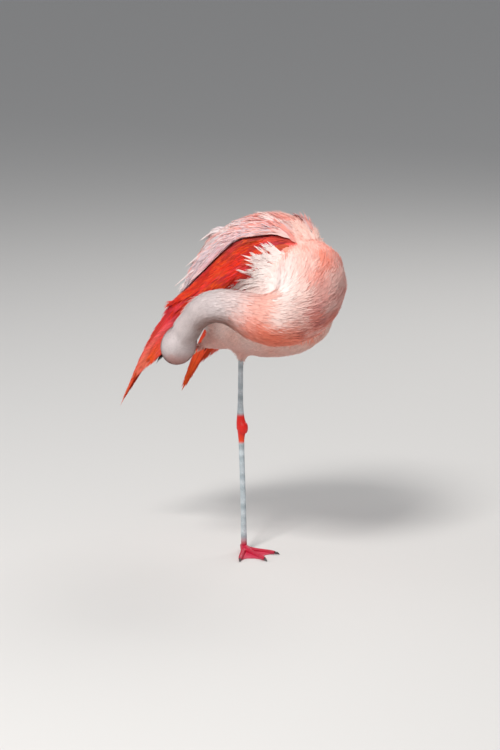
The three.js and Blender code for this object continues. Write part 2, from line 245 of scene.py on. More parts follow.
def newGroup(name, inputs):
    # A group with colours and numbers as inputs, for a colour and a height.
    tree = bpy.data.node_groups.new(name, "ShaderNodeTree")
    for label, value in inputs.items():
        kind = "NodeSocketColor" if isinstance(value, tuple) else "NodeSocketFloat"
        socket = tree.interface.new_socket(label, in_out="INPUT", socket_type=kind)
        socket.default_value = value
    for label, kind in (("Color", "NodeSocketColor"), ("Height", "NodeSocketFloat")):
        tree.interface.new_socket(label, in_out="OUTPUT", socket_type=kind)
    given = tree.nodes.new("NodeGroupInput").outputs
    return tree, given, tree.nodes.new("NodeGroupOutput").inputs


def makeDownGroup():
    # Soft colour drift and fine barbs over plumage: object-space noise plus combed lines.
    tree, given, result = newGroup("downTone", {
        "Tint": (0.8, 0.6, 0.5, 1), "Drift": 0.15, "Drift Scale": 60.0, "Across": 0.5,
        "Along": 0.5, "Barbs": 40.0, "Shaft": 0.2})
    calc = partial(addMath, tree)
    drift = addNoise(tree, given["Drift Scale"], 4)
    off = calc("ABSOLUTE", calc("SUBTRACT", given["Across"], 0.5))
    slant = calc("MULTIPLY", calc("SUBTRACT", given["Along"], off), given["Barbs"])
    comb = calc("SINE", calc("MULTIPLY", slant, 6.283))
    swing = calc("MULTIPLY", calc("SUBTRACT", drift, 0.5), given["Drift"])
    light = calc("ADD", calc("MULTIPLY", swing, 2.0), 1.0)
    shaft = calc("MULTIPLY", calc("LESS_THAN", off, 0.06), given["Shaft"])
    level = calc("MULTIPLY", light, calc("SUBTRACT", 1.0, shaft))
    tree.links.new(addShade(tree, given["Tint"], level), result["Color"])
    tree.links.new(calc("ADD", calc("MULTIPLY", comb, 0.35), drift), result["Height"])
    return tree


def makeScaleGroup():
    # Polygon scales for bare skin: dark seams between cells, with a little drift in tone.
    tree, given, result = newGroup("scaleTone", {
        "Base": (0.5, 0.5, 0.5, 1), "Seam": (0.2, 0.2, 0.2, 1), "Scale": 500.0, "Drift": 0.2})
    calc = partial(addMath, tree)
    where = addNode(tree, "ShaderNodeTexCoord")
    cells = addNode(tree, "ShaderNodeTexVoronoi", {"Vector": where.outputs["Object"],
                                                   "Scale": given["Scale"]},
                    feature="DISTANCE_TO_EDGE")
    seam = addNode(tree, "ShaderNodeMapRange", {"From Max": 0.12,
                                                "Value": cells.outputs["Distance"]}).outputs[0]
    swing = calc("MULTIPLY", calc("SUBTRACT", addNoise(tree, 90), 0.5), given["Drift"])
    colour = addMix(tree, seam, given["Seam"], given["Base"])
    tree.links.new(addShade(tree, colour, calc("ADD", swing, 1.0)), result["Color"])
    tree.links.new(seam, result["Height"])
    return tree


downGroup = makeDownGroup()
scaleGroup = makeScaleGroup()


def shaderMaterial(name, rough, sheen=0.0, coat=0.0, coatRough=0.03):
    material = bpy.data.materials.new(name)
    material.use_nodes = True
    shader = material.node_tree.nodes["Principled BSDF"].inputs
    shader["Roughness"].default_value = rough
    shader["Sheen Weight"].default_value = sheen
    shader["Coat Weight"].default_value = coat
    shader["Coat Roughness"].default_value = coatRough
    shader["Specular IOR Level"].default_value = 0.25 if coat == 0 else 0.5
    return material, material.node_tree, shader


def addBump(tree, shader, height, strength, distance):
    bump = addNode(tree, "ShaderNodeBump", {"Height": height, "Strength": strength,
                                            "Distance": distance})
    tree.links.new(bump.outputs["Normal"], shader["Normal"])


def addTone(tree, shader, group, inputs, strength, distance):
    # A tone group that gives the shader its colour and its relief.
    tone = addNode(tree, "ShaderNodeGroup", inputs, node_tree=group)
    tree.links.new(tone.outputs["Color"], shader["Base Color"])
    addBump(tree, shader, tone.outputs["Height"], strength, distance)


def featherMaterial(name, rough=0.72, drift=0.12, driftScale=70, barbs=30, shaft=0.12,
                    sheen=0.15):
    material, tree, shader = shaderMaterial(name, rough, sheen)
    vane = addNode(tree, "ShaderNodeUVMap", uv_map="vane")
    split = addNode(tree, "ShaderNodeSeparateXYZ", {0: vane.outputs["UV"]}).outputs
    addTone(tree, shader, downGroup, {
        "Tint": addTint(tree), "Drift": drift, "Drift Scale": driftScale, "Barbs": barbs,
        "Shaft": shaft, "Across": split[0], "Along": split[1]}, 0.25, 0.0004)
    return material


def downMaterial(name):
    # The skin under the coat: its own markings and painted light and shade, with a fine downy bump.
    material, tree, shader = shaderMaterial(name, 0.8, 0.1)
    addTone(tree, shader, downGroup, {
        "Tint": addTint(tree), "Drift": 0.12, "Drift Scale": 240, "Shaft": 0.0}, 0.3, 0.0005)
    return material


def scaleMaterial(name, scale, rough, coat, base=None, seam=None):
    # Scaled bare skin, in two tones or else in the piece's own tint with darker seams.
    material, tree, shader = shaderMaterial(name, rough, coat=coat)
    if base:
        base, seam = (*srgb(base), 1), (*srgb(seam), 1)
    else:
        base = addTint(tree)
        seam = addMix(tree, 1.0, base, (0.6, 0.6, 0.6, 1), "MULTIPLY")
    addTone(tree, shader, scaleGroup, {"Base": base, "Seam": seam, "Scale": scale, "Drift": 0.3},
            0.3, 0.0003)
    return material


def speckledMaterial(name, rough, coat, coatRough, grain, detail, low, high, relief):
    # The piece's own tint with a fine grain of darker and paler specks.
    material, tree, shader = shaderMaterial(name, rough, coat=coat, coatRough=coatRough)
    noise = addNoise(tree, grain, detail)
    shade = addNode(tree, "ShaderNodeMapRange", {"Value": noise, "To Min": low, "To Max": high})
    tree.links.new(addShade(tree, addTint(tree), shade.outputs[0]), shader["Base Color"])
    if relief:
        addBump(tree, shader, noise, *relief)
    return material


# The finish that each slot has, apart from the skin under the coat and the eyelids.
horn = speckledMaterial("horn", 0.32, 0.35, 0.03, 260, 5, 0.78, 1.12, (0.2, 0.0002))
finishes = {
    "pale_plumage": featherMaterial("bodyPlumage"),
    "neck_plumage": featherMaterial("neckPlumage", drift=0.08, driftScale=110, barbs=14,
                                    shaft=0.0),
    "red_plumage": featherMaterial("redPlumage", drift=0.22, driftScale=55, barbs=60, shaft=0.25,
                                   sheen=0.0),
    "white_plumage": featherMaterial("whitePlumage", drift=0.10, driftScale=45, barbs=60,
                                     shaft=0.10),
    "black_quill": featherMaterial("blackPlumage", rough=0.45, drift=0.3, barbs=80, shaft=0.4,
                                   sheen=0.0),
    "leg_skin": scaleMaterial("legSkin", 560, 0.5, 0.06),
    "foot_skin": scaleMaterial("footSkin", 420, 0.42, 0.25),
    "claw_horn": horn,
    "bill_horn": horn,
    "eye": speckledMaterial("wetEye", 0.08, 1.0, 0.02, 1400, 2, 0.8, 1.15, None),
}
skinDown = downMaterial("skinDown")
lidSkin = scaleMaterial("lidSkin", 1500, 0.5, 0.1, "d9a49c", "b07870")
print("finishes made")


skinSettings = {
    "flesh": ["trunk", "neck_base", "neck_middle", "neck_upper", "head", "thigh_right",
              "thigh_left"],
    "under": ["wing_right", "wing_left", "mantle_right", "mantle_left"],
    "rearCut": -0.092,      # the wings behind this are feathers alone
    "rearThin": 5.0,        # how much deeper the skin lies as it nears that cut, mm
    "covertReach": 9.0,     # how far the coverts spread over the flank, mm
    "covertsAbove": 0.495,  # and how high up that begins
    "rimFrom": 0.02,        # ahead of this the mantle ends at its rim
    "voxel": 0.0042,
    "smoothing": 9,
    "napeRounds": 45,       # how far the crease between head and neck is filled
    "napeReach": 0.056,
    "napeShift": (0.002, -0.004, 0.002),
    "flowSmoothing": 18,
    "tintSmoothing": 5,
    "depth": {"trunk": 4.0, "neck": 1.5, "head": 1.0, "thigh": 2.0, "wing": 4.5, "mantle": 4.5},
}


def mergedCopy(nodes):
    bm = bmesh.new()
    for node in nodes:
        bm.from_mesh(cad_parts[node].data)
    bmesh.ops.remove_doubles(bm, verts=bm.verts, dist=1e-6)
    return bm


def treeOf(node):
    # A solid as a tree that finds its nearest point.
    copy = mergedCopy([node])
    tree = BVHTree.FromBMesh(copy)
    copy.free()
    return tree


def withoutRear(bm, limit):
    geom = bm.verts[:] + bm.edges[:] + bm.faces[:]
    cut = bmesh.ops.bisect_plane(bm, geom=geom, plane_co=(limit, 0, 0), plane_no=(-1, 0, 0),
                                 clear_outer=True)
    edges = [e for e in cut["geom_cut"] if isinstance(e, bmesh.types.BMEdge)]
    bmesh.ops.holes_fill(bm, edges=edges, sides=0)


def keepLargest(bm):
    # Drops the crumbs that a remesh can leave beside the main shell.
    bm.verts.ensure_lookup_table()
    seen, shells = set(), []
    for start in bm.verts:
        if start in seen:
            continue
        shell, queue = [], [start]
        seen.add(start)
        while queue:
            vert = queue.pop()
            shell.append(vert)
            for edge in vert.link_edges:
                other = edge.other_vert(vert)
                if other not in seen:
                    seen.add(other)
                    queue.append(other)
        shells.append(shell)
    shells.sort(key=len, reverse=True)
    for shell in shells[1:]:
        bmesh.ops.delete(bm, geom=shell, context="VERTS")


def fineShell(name, bm, voxel, rounds):
    # One closed shell round the given solids: its mesh, and a smoothed bmesh of it to shape.
    rough = newObject(name + "Rough", meshFrom(bm, name + "Rough"))
    remesh = rough.modifiers.new("voxels", "REMESH")
    remesh.mode = "VOXEL"
    remesh.voxel_size = voxel
    bpy.context.view_layer.update()
    evaluated = rough.evaluated_get(bpy.context.evaluated_depsgraph_get())
    fine = bpy.data.meshes.new_from_object(evaluated)
    fine.name = name
    bpy.data.objects.remove(rough)
    bm = bmesh.new()
    bm.from_mesh(fine)
    keepLargest(bm)
    smoothVerts(bm, rounds)
    return fine, bm


def routeDirection(route, point):
    best, direction = 1e9, None
    for a, b in zip(route, route[1:]):
        step = b - a
        t = min(max((point - a).dot(step) / step.length_squared, 0), 1)
        distance = (a + step * t - point).length
        if distance < best:
            best, direction = distance, step.normalized()
    return direction


eyes = {"right": boxCentre("eye_right"), "left": boxCentre("eye_left")}
headCentre = (eyes["right"] + eyes["left"]) / 2
billAxis = (boxCentre("bill_upper") - headCentre).normalized()


def flowAt(region, side, point):
    if region == "neck":
        return routeDirection(routes["neck"], point)
    if region == "head":
        return -billAxis
    if region == "thigh":
        return Vector((0, 0, -1)) if side == "right" else Vector((-0.8, 0, -0.5))
    route = routes[region]
    if region != "trunk" and side == "left":
        route = mirrorY(route)
    fall = {"trunk": 0.25, "wing": 0.55, "mantle": 0.0}[region]
    if region == "wing":
        fall *= float(smoothstep(0.09, 0.02, point.x))
    return (routeDirection(route, point) + Vector((0, 0, -fall))).normalized()


# Some of these stand for light and shade: 985f4e is painted shade under the neck, mauve painted
# shade between the breast's feather clumps, coral and part of salmon painted shade along the top
# and front edges, bright also the breast's painted highlight, and 6e0a04 partly painted shadow
# under the mantle's rim.
tones = {
    "bright": "fff4f0", "pale": "fbc9b9", "white": "fdeae4", "salmon": "fb8364",
    "coral": "e8563c", "mauve": "b27f84", "belly": "cf8272", "neck": "e0d3d2",
    "neckPink": "fbd0c2", "nape": "d6caca", "chin": "c67a6c", "neckUnderShade": "985f4e",
    "covert": "ea1c02", "orange": "fb5a0c", "pink": "ee4a60", "magenta": "d0183e",
    "scapular": "d9cbd1", "scapularPink": "f29c88", "deep": "6e0a04",
    "plume": "ee2c0a", "plumeTip": "e8560e", "flap": "f07a5c", "quill": "171215",
}
tones = {name: srgb(value) for name, value in tones.items()}
tones["wingRear"] = mix(tones["magenta"], tones["pink"], 0.4)


def layered(first, *layers):
    # Tones laid one over another, each through its mask.
    tone = tones[first]
    for name, mask in layers:
        tone = mix(tone, tones[name], mask)
    return tone


def fold(p):
    # Slow waves that stand for patches of paler and deeper plumage, and for the feather clumps that
    # carry the breast's painted shade and light.
    return (np.sin(p[:, 0] * 95 + 1.3) + np.sin(p[:, 1] * 120 + p[:, 2] * 70)
            + np.sin(p[:, 2] * 110 - p[:, 0] * 60 + 0.6)) / 3


def routePlace(route, p):
    # How far along a route each point lies, 0 to 1, and its offset from the line there.
    best = np.full(len(p), 1e9)
    share, offset = np.zeros(len(p)), np.zeros((len(p), 3))
    lengths = [(b - a).length for a, b in zip(route, route[1:])]
    done = 0.0
    for a, b, length in zip(route, route[1:], lengths):
        step = np.array(b - a)
        t = np.clip((p - np.array(a)) @ step / length ** 2, 0, 1)
        away = p - (np.array(a) + t[:, None] * step)
        distance = np.linalg.norm(away, axis=1)
        nearer = distance < best
        best[nearer] = distance[nearer]
        offset[nearer] = away[nearer]
        share[nearer] = (done + t[nearer] * length) / sum(lengths)
        done += length
    return share, offset


def rimPlace(p):
    # Place along the mantle's lower rim and offset from it, with the left side folded over.
    folded = p.copy()
    folded[:, 1] = bodyY - np.abs(p[:, 1] - bodyY)
    return routePlace(routes["rim"], folded)


def markingsAndPaintedLight(p, region):
    # The bird's markings at points p, by where they lie on the body, with painted light and shade
    # laid in: a highlight on the breast, shade under the neck and along its top and front edges,
    # and shadow under the mantle's rim.
    x, y, z = p[:, 0], p[:, 1] - bodyY, p[:, 2]
    wave, patches = fold(p), fold(p * 2.3)
    front = smoothstep(0.10, 0.20, x)
    far = smoothstep(-0.03, 0.09, y)
    nearFlank = smoothstep(0.0, -0.06, y) * smoothstep(0.41, 0.46, z)
    trunk = layered(
        "pale",
        ("white", smoothstep(-0.2, 0.9, wave) * 0.6),
        ("salmon", front * far * 0.45 + 0.30 * smoothstep(0.1, 0.9, -wave)),
        ("belly", smoothstep(0.43, 0.36, z) * 0.85),
        ("bright", nearFlank * 0.85))
    share, offset = routePlace(routes["neck"], p)
    low = -offset[:, 2] / (np.linalg.norm(offset, axis=1) + 1e-6)
    base = smoothstep(0.26, 0.46, share)
    breast = smoothstep(0.40, 0.55, share) * smoothstep(0.97, 0.72, share)
    # lit: a painted highlight, whitening the middle of the breast on its right side and away from
    # its underside.
    lit = smoothstep(0.55, -0.25, low) * smoothstep(0.190, 0.140, x) * smoothstep(0.0, -0.05, y)
    # warm: salmon that deepens towards the underside, partly the bird's pink and partly painted
    # shade, with more of it where the pink of the neck base begins.
    warm = smoothstep(-0.12, 0.5, low + 0.2 * wave) + smoothstep(0.52, 0.38, share) * 0.6
    # limb: coral as painted shade along the breast's foremost edge.
    limb = smoothstep(0.165, 0.215, x)
    # crown: salmon as painted shade along the top of the neck base.
    crown = smoothstep(0.485, 0.545, z) * base
    # edge, dark and light: painted shade and light of feather clumps on the breast's front edge,
    # mauve between the clumps and white on them; the white also runs along the top.
    edge = smoothstep(0.150, 0.195, x)
    scallopShade = edge * smoothstep(0.05, 0.45, patches) * smoothstep(0.53, 0.45, z)
    light = np.maximum(edge, crown) * smoothstep(0.05, 0.45, -patches)
    neck = layered(
        "neck",
        ("neckPink", base * 0.85),
        # Painted shade: grey-brown along the neck's underside, thinning out on the neck base.
        ("neckUnderShade", (1 - base * 0.6) * smoothstep(0.3, 0.85, low) * 0.9),
        ("bright", breast * lit),
        ("salmon", base * np.clip(warm, 0, 1) * 0.95),
        ("coral", limb * (0.35 + 0.3 * smoothstep(-0.4, 0.6, wave))),
        ("salmon", crown * (0.25 + 0.55 * smoothstep(-0.3, 0.6, wave))),
        ("mauve", scallopShade * 0.6),
        ("white", light * 0.6))
    face = smoothstep(-0.032, 0.006, (p - np.array(headCentre)) @ np.array(billAxis)) * 0.55
    head = layered("nape", ("chin", np.maximum(smoothstep(0.388, 0.354, z) * 0.8, face)))
    fromRim = np.linalg.norm(rimPlace(p)[1], axis=1)
    wing = layered(
        "covert",
        ("orange", smoothstep(-0.3, 0.7, wave) * 0.6),
        # Dark red along the mantle's lower rim: dark covert roots, and painted shadow of the rim
        # that overhangs them.
        ("deep", smoothstep(0.017, 0.004, fromRim) * smoothstep(0.125, 0.09, x)),
        ("wingRear", smoothstep(-0.060, -0.072, x)))
    # ridge: coral streaks along the top of the back, painted shade along its top edge.
    ridge = smoothstep(0.045, 0.0, np.abs(y)) * smoothstep(0.5, 0.56, z)
    streak = smoothstep(-0.2, 0.5, np.sin(p[:, 1] * 900 + p[:, 0] * 40))
    mantle = layered(
        "scapular",
        ("scapularPink", smoothstep(0.1, 0.9, -wave) * 0.2),
        ("coral", ridge * (0.4 + 0.45 * streak)))
    thigh = layered("belly", ("white", smoothstep(0.385, 0.352, z) * 0.7))
    out = np.zeros((len(p), 3))
    for name, tint in (("trunk", trunk), ("neck", neck), ("head", head), ("wing", wing),
                       ("mantle", mantle), ("thigh", thigh)):
        out[region == name] = tint[region == name]
    return out


def smoothField(field, pairs, rounds):
    count = np.zeros(len(field))
    np.add.at(count, pairs[:, 0], 1)
    np.add.at(count, pairs[:, 1], 1)
    for _ in range(rounds):
        total = np.zeros_like(field)
        np.add.at(total, pairs[:, 0], field[pairs[:, 1]])
        np.add.at(total, pairs[:, 1], field[pairs[:, 0]])
        field = 0.4 * field + 0.6 * total / count[:, None]
    return field


def fillNape(bm):
    # Fills the crease where the head meets the neck, without thinning either of them.
    place = routes["neck"][0] + Vector(skinSettings["napeShift"])
    near = [v for v in bm.verts if (v.co - place).length < skinSettings["napeReach"]]
    before = [(v.co.copy(), v.normal.copy()) for v in near]
    for _ in range(skinSettings["napeRounds"]):
        smoothVerts(bm, 3, near)
        for vert, (first, normal) in zip(near, before):
            vert.co += normal * max((first - vert.co).dot(normal), 0)


def partAt(point, trees):
    # The solid whose coat covers a point: the nearest, with the coverts spread over the flank.
    found = min(trees, key=lambda name: trees[name].find_nearest(point)[3])
    if found == "trunk" and point.z > skinSettings["covertsAbove"]:
        for wing in ("wing_right", "wing_left"):
            if trees[wing].find_nearest(point)[3] < skinSettings["covertReach"] * mm:
                found = wing
    if found.startswith("mantle") and point.x > skinSettings["rimFrom"]:
        _, offset = rimPlace(np.array([point]))
        if offset[0, 2] < 0:
            found = found.replace("mantle", "wing")
    return found


def makeSkin():
    under = mergedCopy(skinSettings["under"])
    withoutRear(under, skinSettings["rearCut"])
    mesh = meshFrom(under, "under")
    bm = mergedCopy(skinSettings["flesh"])
    bm.from_mesh(mesh)
    bpy.data.meshes.remove(mesh)
    fine, bm = fineShell("skin", bm, skinSettings["voxel"], skinSettings["smoothing"])
    bmesh.ops.triangulate(bm, faces=bm.faces)
    bmesh.ops.recalc_face_normals(bm, faces=bm.faces)
    bm.normal_update()
    fillNape(bm)
    bm.normal_update()
    trees = {name: treeOf(name) for name in skinSettings["flesh"] + skinSettings["under"]}
    regions, flows, depths = [], [], []
    for vert in bm.verts:
        part = partAt(vert.co, trees)
        region = part.split("_")[0]
        flow = flowAt(region, "left" if part.endswith("left") else "right", vert.co)
        depth = skinSettings["depth"][region]
        if region in ("wing", "mantle"):
            depth += skinSettings["rearThin"] * float(smoothstep(-0.045, -0.09, vert.co.x))
        regions.append(region)
        flows.append(flow - vert.normal * flow.dot(vert.normal))
        depths.append([depth * mm])
    regions = np.array(regions)
    pairs = np.array([[e.verts[0].index, e.verts[1].index] for e in bm.edges])
    flows = smoothField(np.array(flows), pairs, skinSettings["flowSmoothing"])
    depths = smoothField(np.array(depths), pairs, skinSettings["flowSmoothing"])[:, 0]
    tints = markingsAndPaintedLight(np.array([v.co for v in bm.verts]), regions)
    tints = smoothField(tints, pairs, skinSettings["tintSmoothing"])
    for vert, depth in zip(bm.verts, depths):
        vert.co -= vert.normal * depth
    smoothVerts(bm, 3)
    skin = newObject("skin", smoothShaded(meshFrom(bm, fine), tints))
    return skin, {"regions": regions, "flows": flows, "depths": depths, "tints": tints}


skin, skinFacts = makeSkin()


def unwrapSkin():
    bpy.ops.object.select_all(action="DESELECT")
    skin.select_set(True)
    bpy.context.view_layer.objects.active = skin
    skin.data.uv_layers.new(name="OFBake")
    bpy.ops.object.mode_set(mode="EDIT")
    bpy.ops.mesh.select_all(action="SELECT")
    bpy.ops.uv.smart_project(angle_limit=1.15, island_margin=0.003)
    bpy.ops.object.mode_set(mode="OBJECT")


unwrapSkin()
skinPlaces = np.array([v.co for v in skin.data.vertices])
skinNormals = np.array([v.normal for v in skin.data.vertices])
skinFaces = np.array([p.vertices[:] for p in skin.data.polygons])
skinUv = np.zeros(len(skin.data.loops) * 2, np.float32)
skin.data.uv_layers["OFBake"].uv.foreach_get("vector", skinUv)
skinUv = skinUv.reshape(-1, 3, 2)
skinTree = BVHTree.FromPolygons([Vector(p) for p in skinPlaces], skinFaces.tolist())
faceRegions = skinFacts["regions"][skinFaces[:, 0]]
faceCentres = skinPlaces[skinFaces].mean(axis=1)
print("skin unwrapped")


def atSkin(point):
    # Where a point meets the skin: place, normal, flow, coat depth, tint and OFBake place.
    place, _, face, _ = skinTree.find_nearest(point)
    corners = skinFaces[face]
    away = np.linalg.norm(skinPlaces[corners] - np.array(place), axis=1)
    share = 1 / (away + 1e-5)
    share /= share.sum()
    blend = lambda field: share @ field[corners]
    normal = Vector(blend(skinNormals)).normalized()
    flow = Vector(blend(skinFacts["flows"]))
    flow = (flow - normal * flow.dot(normal)).normalized()
    return {
        "place": place, "normal": normal, "flow": flow, "depth": float(blend(skinFacts["depths"])),
        "tint": blend(skinFacts["tints"]), "uv": share @ skinUv[face],
        "region": skinFacts["regions"][corners[int(np.argmin(away))]],
    }


layout = {
    "tries": 3.0,         # random points for each root that would fit
    "step": 0.006,        # how finely a feather follows the skin
    "rootDepth": 0.0012,  # how deep its root is set in the skin
    "trail": 0.018,       # how soon it turns once it has left the skin
    "patch": 0.003,       # the size of its patch on the skin's unwrap
}


def scatterRoots(chosen, look):
    # Evenly spread roots over the chosen faces: random points, none nearer than the spacing.
    rng = random.Random(look["rootSeed"])
    spacing = look["spacing"]
    faces = np.nonzero(chosen)[0]
    a, b, c = (skinPlaces[skinFaces[faces, k]] for k in range(3))
    areas = np.linalg.norm(np.cross(b - a, c - a), axis=1) / 2
    bounds = np.cumsum(areas)
    tries = int(bounds[-1] / spacing ** 2 * layout["tries"])
    picks = np.searchsorted(bounds, np.array([rng.random() for _ in range(tries)]) * bounds[-1])
    cell = spacing * (look["widest"] or 1)
    cells, roots = {}, []
    for pick in np.minimum(picks, len(faces) - 1):
        u, v = rng.random(), rng.random()
        if u + v > 1:
            u, v = 1 - u, 1 - v
        point = Vector(a[pick] + u * (b[pick] - a[pick]) + v * (c[pick] - a[pick]))
        i, j, k = (math.floor(value / cell) for value in point)
        apart = spacing * (look["sizeAt"](point) if look["widest"] else 1)
        near = (other for di in (-1, 0, 1) for dj in (-1, 0, 1) for dk in (-1, 0, 1)
                for other in cells.get((i + di, j + dj, k + dk), ()))
        if all((point - other).length > apart for other in near):
            cells.setdefault((i, j, k), []).append(point)
            roots.append(point)
    return roots


def onSurface(vector, normal):
    return (vector - normal * vector.dot(normal)).normalized()


def laySpine(root, length, lift, turn, look):
    # A feather's centre line: it leaves the skin at its root and follows the lie of the coat.
    here = atSkin(root)
    ahead = onSurface(look["heading"] or here["flow"], here["normal"])
    ahead.rotate(Quaternion(here["normal"], turn))
    spine, normals = [], []
    point, done = here["place"].copy(), 0.0
    for share in look["stations"]:
        steps = max(1, round((share - done) * length / layout["step"]))
        step = (share - done) * length / steps
        for _ in range(steps if step > 0 else 0):
            target = point + ahead * step + Vector((0, 0, -look["sag"] * step * share))
            found = atSkin(target)
            near = (found["place"] - target).length < step * 0.8 + 0.003
            if near and found["normal"].dot(here["normal"]) > 0.8:
                here = found
                point = found["place"]
                pull = found["flow"] * look["follow"] * step / layout["step"]
                ahead = onSurface(pull + ahead, found["normal"])
            else:
                point = target
                pull = look["trail"](point) if look["trail"] else None
                if pull:
                    ahead = (ahead + pull * (step / layout["trail"])).normalized()
        done = share
        rise = -layout["rootDepth"] + (lift + layout["rootDepth"]) * share ** 0.7
        spine.append(point + here["normal"] * rise)
        normals.append(here["normal"].copy())
    return spine, normals


def unit(field):
    return field / (np.linalg.norm(field, axis=-1, keepdims=True) + 1e-12)


def vaneArrays(vanes, profile, thick, cup, soft):
    # Closed lance-shaped vanes: a root, rings of four points, and a tip.
    spines, guides, widths, tints, uvs = (np.array(column) for column in zip(*vanes))
    count, stations, _ = spines.shape
    rings = stations - 2
    tangents = np.gradient(spines, axis=1)
    sides = unit(np.cross(tangents, guides))
    ups = unit(np.cross(sides, tangents))
    half = widths[:, None, None] / 2 * np.array(profile)[None, :, None]
    middle, side, up = spines[:, 1:-1], sides[:, 1:-1], ups[:, 1:-1]
    ring = np.stack([middle + side * half - up * half * cup, middle + up * thick,
                     middle - side * half - up * half * cup, middle - up * thick * 0.4], axis=2)
    verts = np.concatenate([spines[:, :1], ring.reshape(count, rings * 4, 3), spines[:, -1:]],
                           axis=1)
    guide = unit(guides)
    lean = up * (1 - soft) + guide[:, 1:-1] * soft
    bow = side * 0.5 * (1 - soft)
    shade = np.stack([lean + bow, lean, lean - bow, lean], axis=2)
    normals = np.concatenate([guide[:, :1], shade.reshape(count, rings * 4, 3), guide[:, -1:]],
                             axis=1)
    per = 2 + 4 * rings
    last = 1 + 4 * (rings - 1)
    faces = []
    for k in range(4):
        after = (k + 1) % 4
        faces.append((0, 1 + k, 1 + after))
        for r in range(rings - 1):
            a, b = 1 + 4 * r + k, 1 + 4 * r + after
            faces += [(a, b + 4, b), (a, a + 4, b + 4)]
        faces.append((last + after, last + k, per - 1))
    way = np.repeat([1, 1, -1, -1], len(faces) // 4 * 3)      # the two lower sides face down
    loops = np.array(faces).ravel()
    normals = unit(normals)[:, loops] * way[None, :, None]
    faces = np.array(faces)[None] + (np.arange(count) * per)[:, None, None]
    along = np.concatenate([[0], np.repeat(np.arange(1, rings + 1), 4), [rings + 1]]) / (rings + 1)
    across = np.concatenate([[0.5], np.tile([0, 0.5, 1, 0.5], rings), [0.5]])
    own = np.stack([across, along], axis=1)
    patch = uvs[:, None, :] + (own[None] - 0.5) * layout["patch"]
    tint = tints[:, :1] * (1 - along[None, :, None]) + tints[:, 1:] * along[None, :, None]
    return {"verts": verts.reshape(-1, 3), "faces": faces.reshape(-1, 3),
            "normals": normals.reshape(-1, 3), "tint": np.clip(tint, 0, 1).reshape(-1, 3),
            "vane": np.tile(own, (count, 1)), "OFBake": patch.reshape(-1, 2)}


def featherMesh(name, parts):
    # One mesh from several sets of vanes, with their colours, maps and soft normals.
    offsets = np.cumsum([0] + [len(part["verts"]) for part in parts])
    faces = np.concatenate([part["faces"] + offset for part, offset in zip(parts, offsets)])
    whole = {key: np.concatenate([part[key] for part in parts])
             for key in ("verts", "normals", "tint", "vane", "OFBake")}
    mesh = bpy.data.meshes.new(name)
    mesh.from_pydata(whole["verts"].tolist(), [], faces.tolist())
    for key in ("vane", "OFBake"):
        mesh.uv_layers.new(name=key).uv.foreach_set("vector", whole[key][faces.ravel()].ravel())
    smoothShaded(mesh, whole["tint"])
    mesh.normals_split_custom_set(whole["normals"].tolist())
    return mesh


def addBarbs(barbs, rng, spine, normals, width, look, tints, uv):
    # Fine barbs on both sides of a vane: they leave it at a slant and fray its edge and tip.
    form = look["barbs"]
    scale = width / look["width"] if "width" in look else 1.0
    shares = look["stations"]
    halves = [0.25, *look["profile"], 0.12]
    for k in range(form["count"]):
        share = form["from"] + (0.97 - form["from"]) * (k + rng.random()) / form["count"]
        half = width / 2 * float(np.interp(share, shares, halves))
        i = max(n for n in range(len(shares) - 1) if shares[n] <= share)
        f = (share - shares[i]) / (shares[i + 1] - shares[i])
        base = spine[i].lerp(spine[i + 1], f)
        face = normals[i].lerp(normals[i + 1], f)
        ahead = (spine[i + 1] - spine[i]).normalized()
        tone = mix(tints[0], tints[1], share) * rng.gauss(1, form["streak"])
        tip = tone
        if "edgeTone" in form:
            tip = mix(tone, form["edgeTone"], form["edgeShare"] * rng.random())
        for side in (-1, 1):
            across = ahead.cross(face).normalized() * side
            reach = half * rng.uniform(0.8, form["fray"])
            run = form["run"] * rng.uniform(0.75, 1.25) * scale
            first = base + across * reach * 0.3 + face * look["thick"] * 0.6
            last = first + ahead * run + across * reach * 0.7 + face * rng.gauss(0, form["loose"])
            middle = first.lerp(last, 0.5) + across * reach * 0.12 + face * 0.0003
            barbs.append(([first, middle, last], [face] * 3, form["width"] * scale,
                          [tone, tip], uv))


def finishPiece(name, mesh, slot, replaced=(), material=None):
    # A finished mesh as a piece: its finish, the body it rides and the solids it stands for.
    piece = bpy.data.objects.get(name) or newObject(name, mesh)
    mesh.materials.clear()
    mesh.materials.append(material or finishes[slot])
    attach(piece, "root")
    if replaced:
        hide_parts(*replaced)
    print(name, "made:", len(mesh.polygons), "faces")


def featherPiece(name, vanes, look, slot, replaced=()):
    # Vanes and the barbs at their edges, as one piece.
    parts = [vaneArrays(vanes, look["profile"], look["thick"], look["cup"], look["soft"])]
    if "barbs" in look:
        rng = random.Random(look["seed"] + 500)
        barbs = []
        for spine, normals, width, tints, uv in vanes:
            addBarbs(barbs, rng, spine, normals, width, look, tints, uv)
        parts.append(vaneArrays(barbs, [1.0], look["barbs"]["width"] * 0.2, 0.1, look["soft"]))
    finishPiece(name, featherMesh(name, parts), slot, replaced)


eyeClear = 0.0085  # no feather grows nearer to the middle of an eye


def nearEye(point):
    return min((point - eye).length for eye in eyes.values()) < eyeClear


ruffle = {"place": Vector((0.146, 0.026, 0.562)), "reach": 0.036, "height": 0.0085}


def ruffled(p):
    # The shoulder feathers stand up a little where the neck turns back over them.
    away = (p - ruffle["place"]).length / ruffle["reach"]
    return ruffle["height"] * math.exp(-away * away)


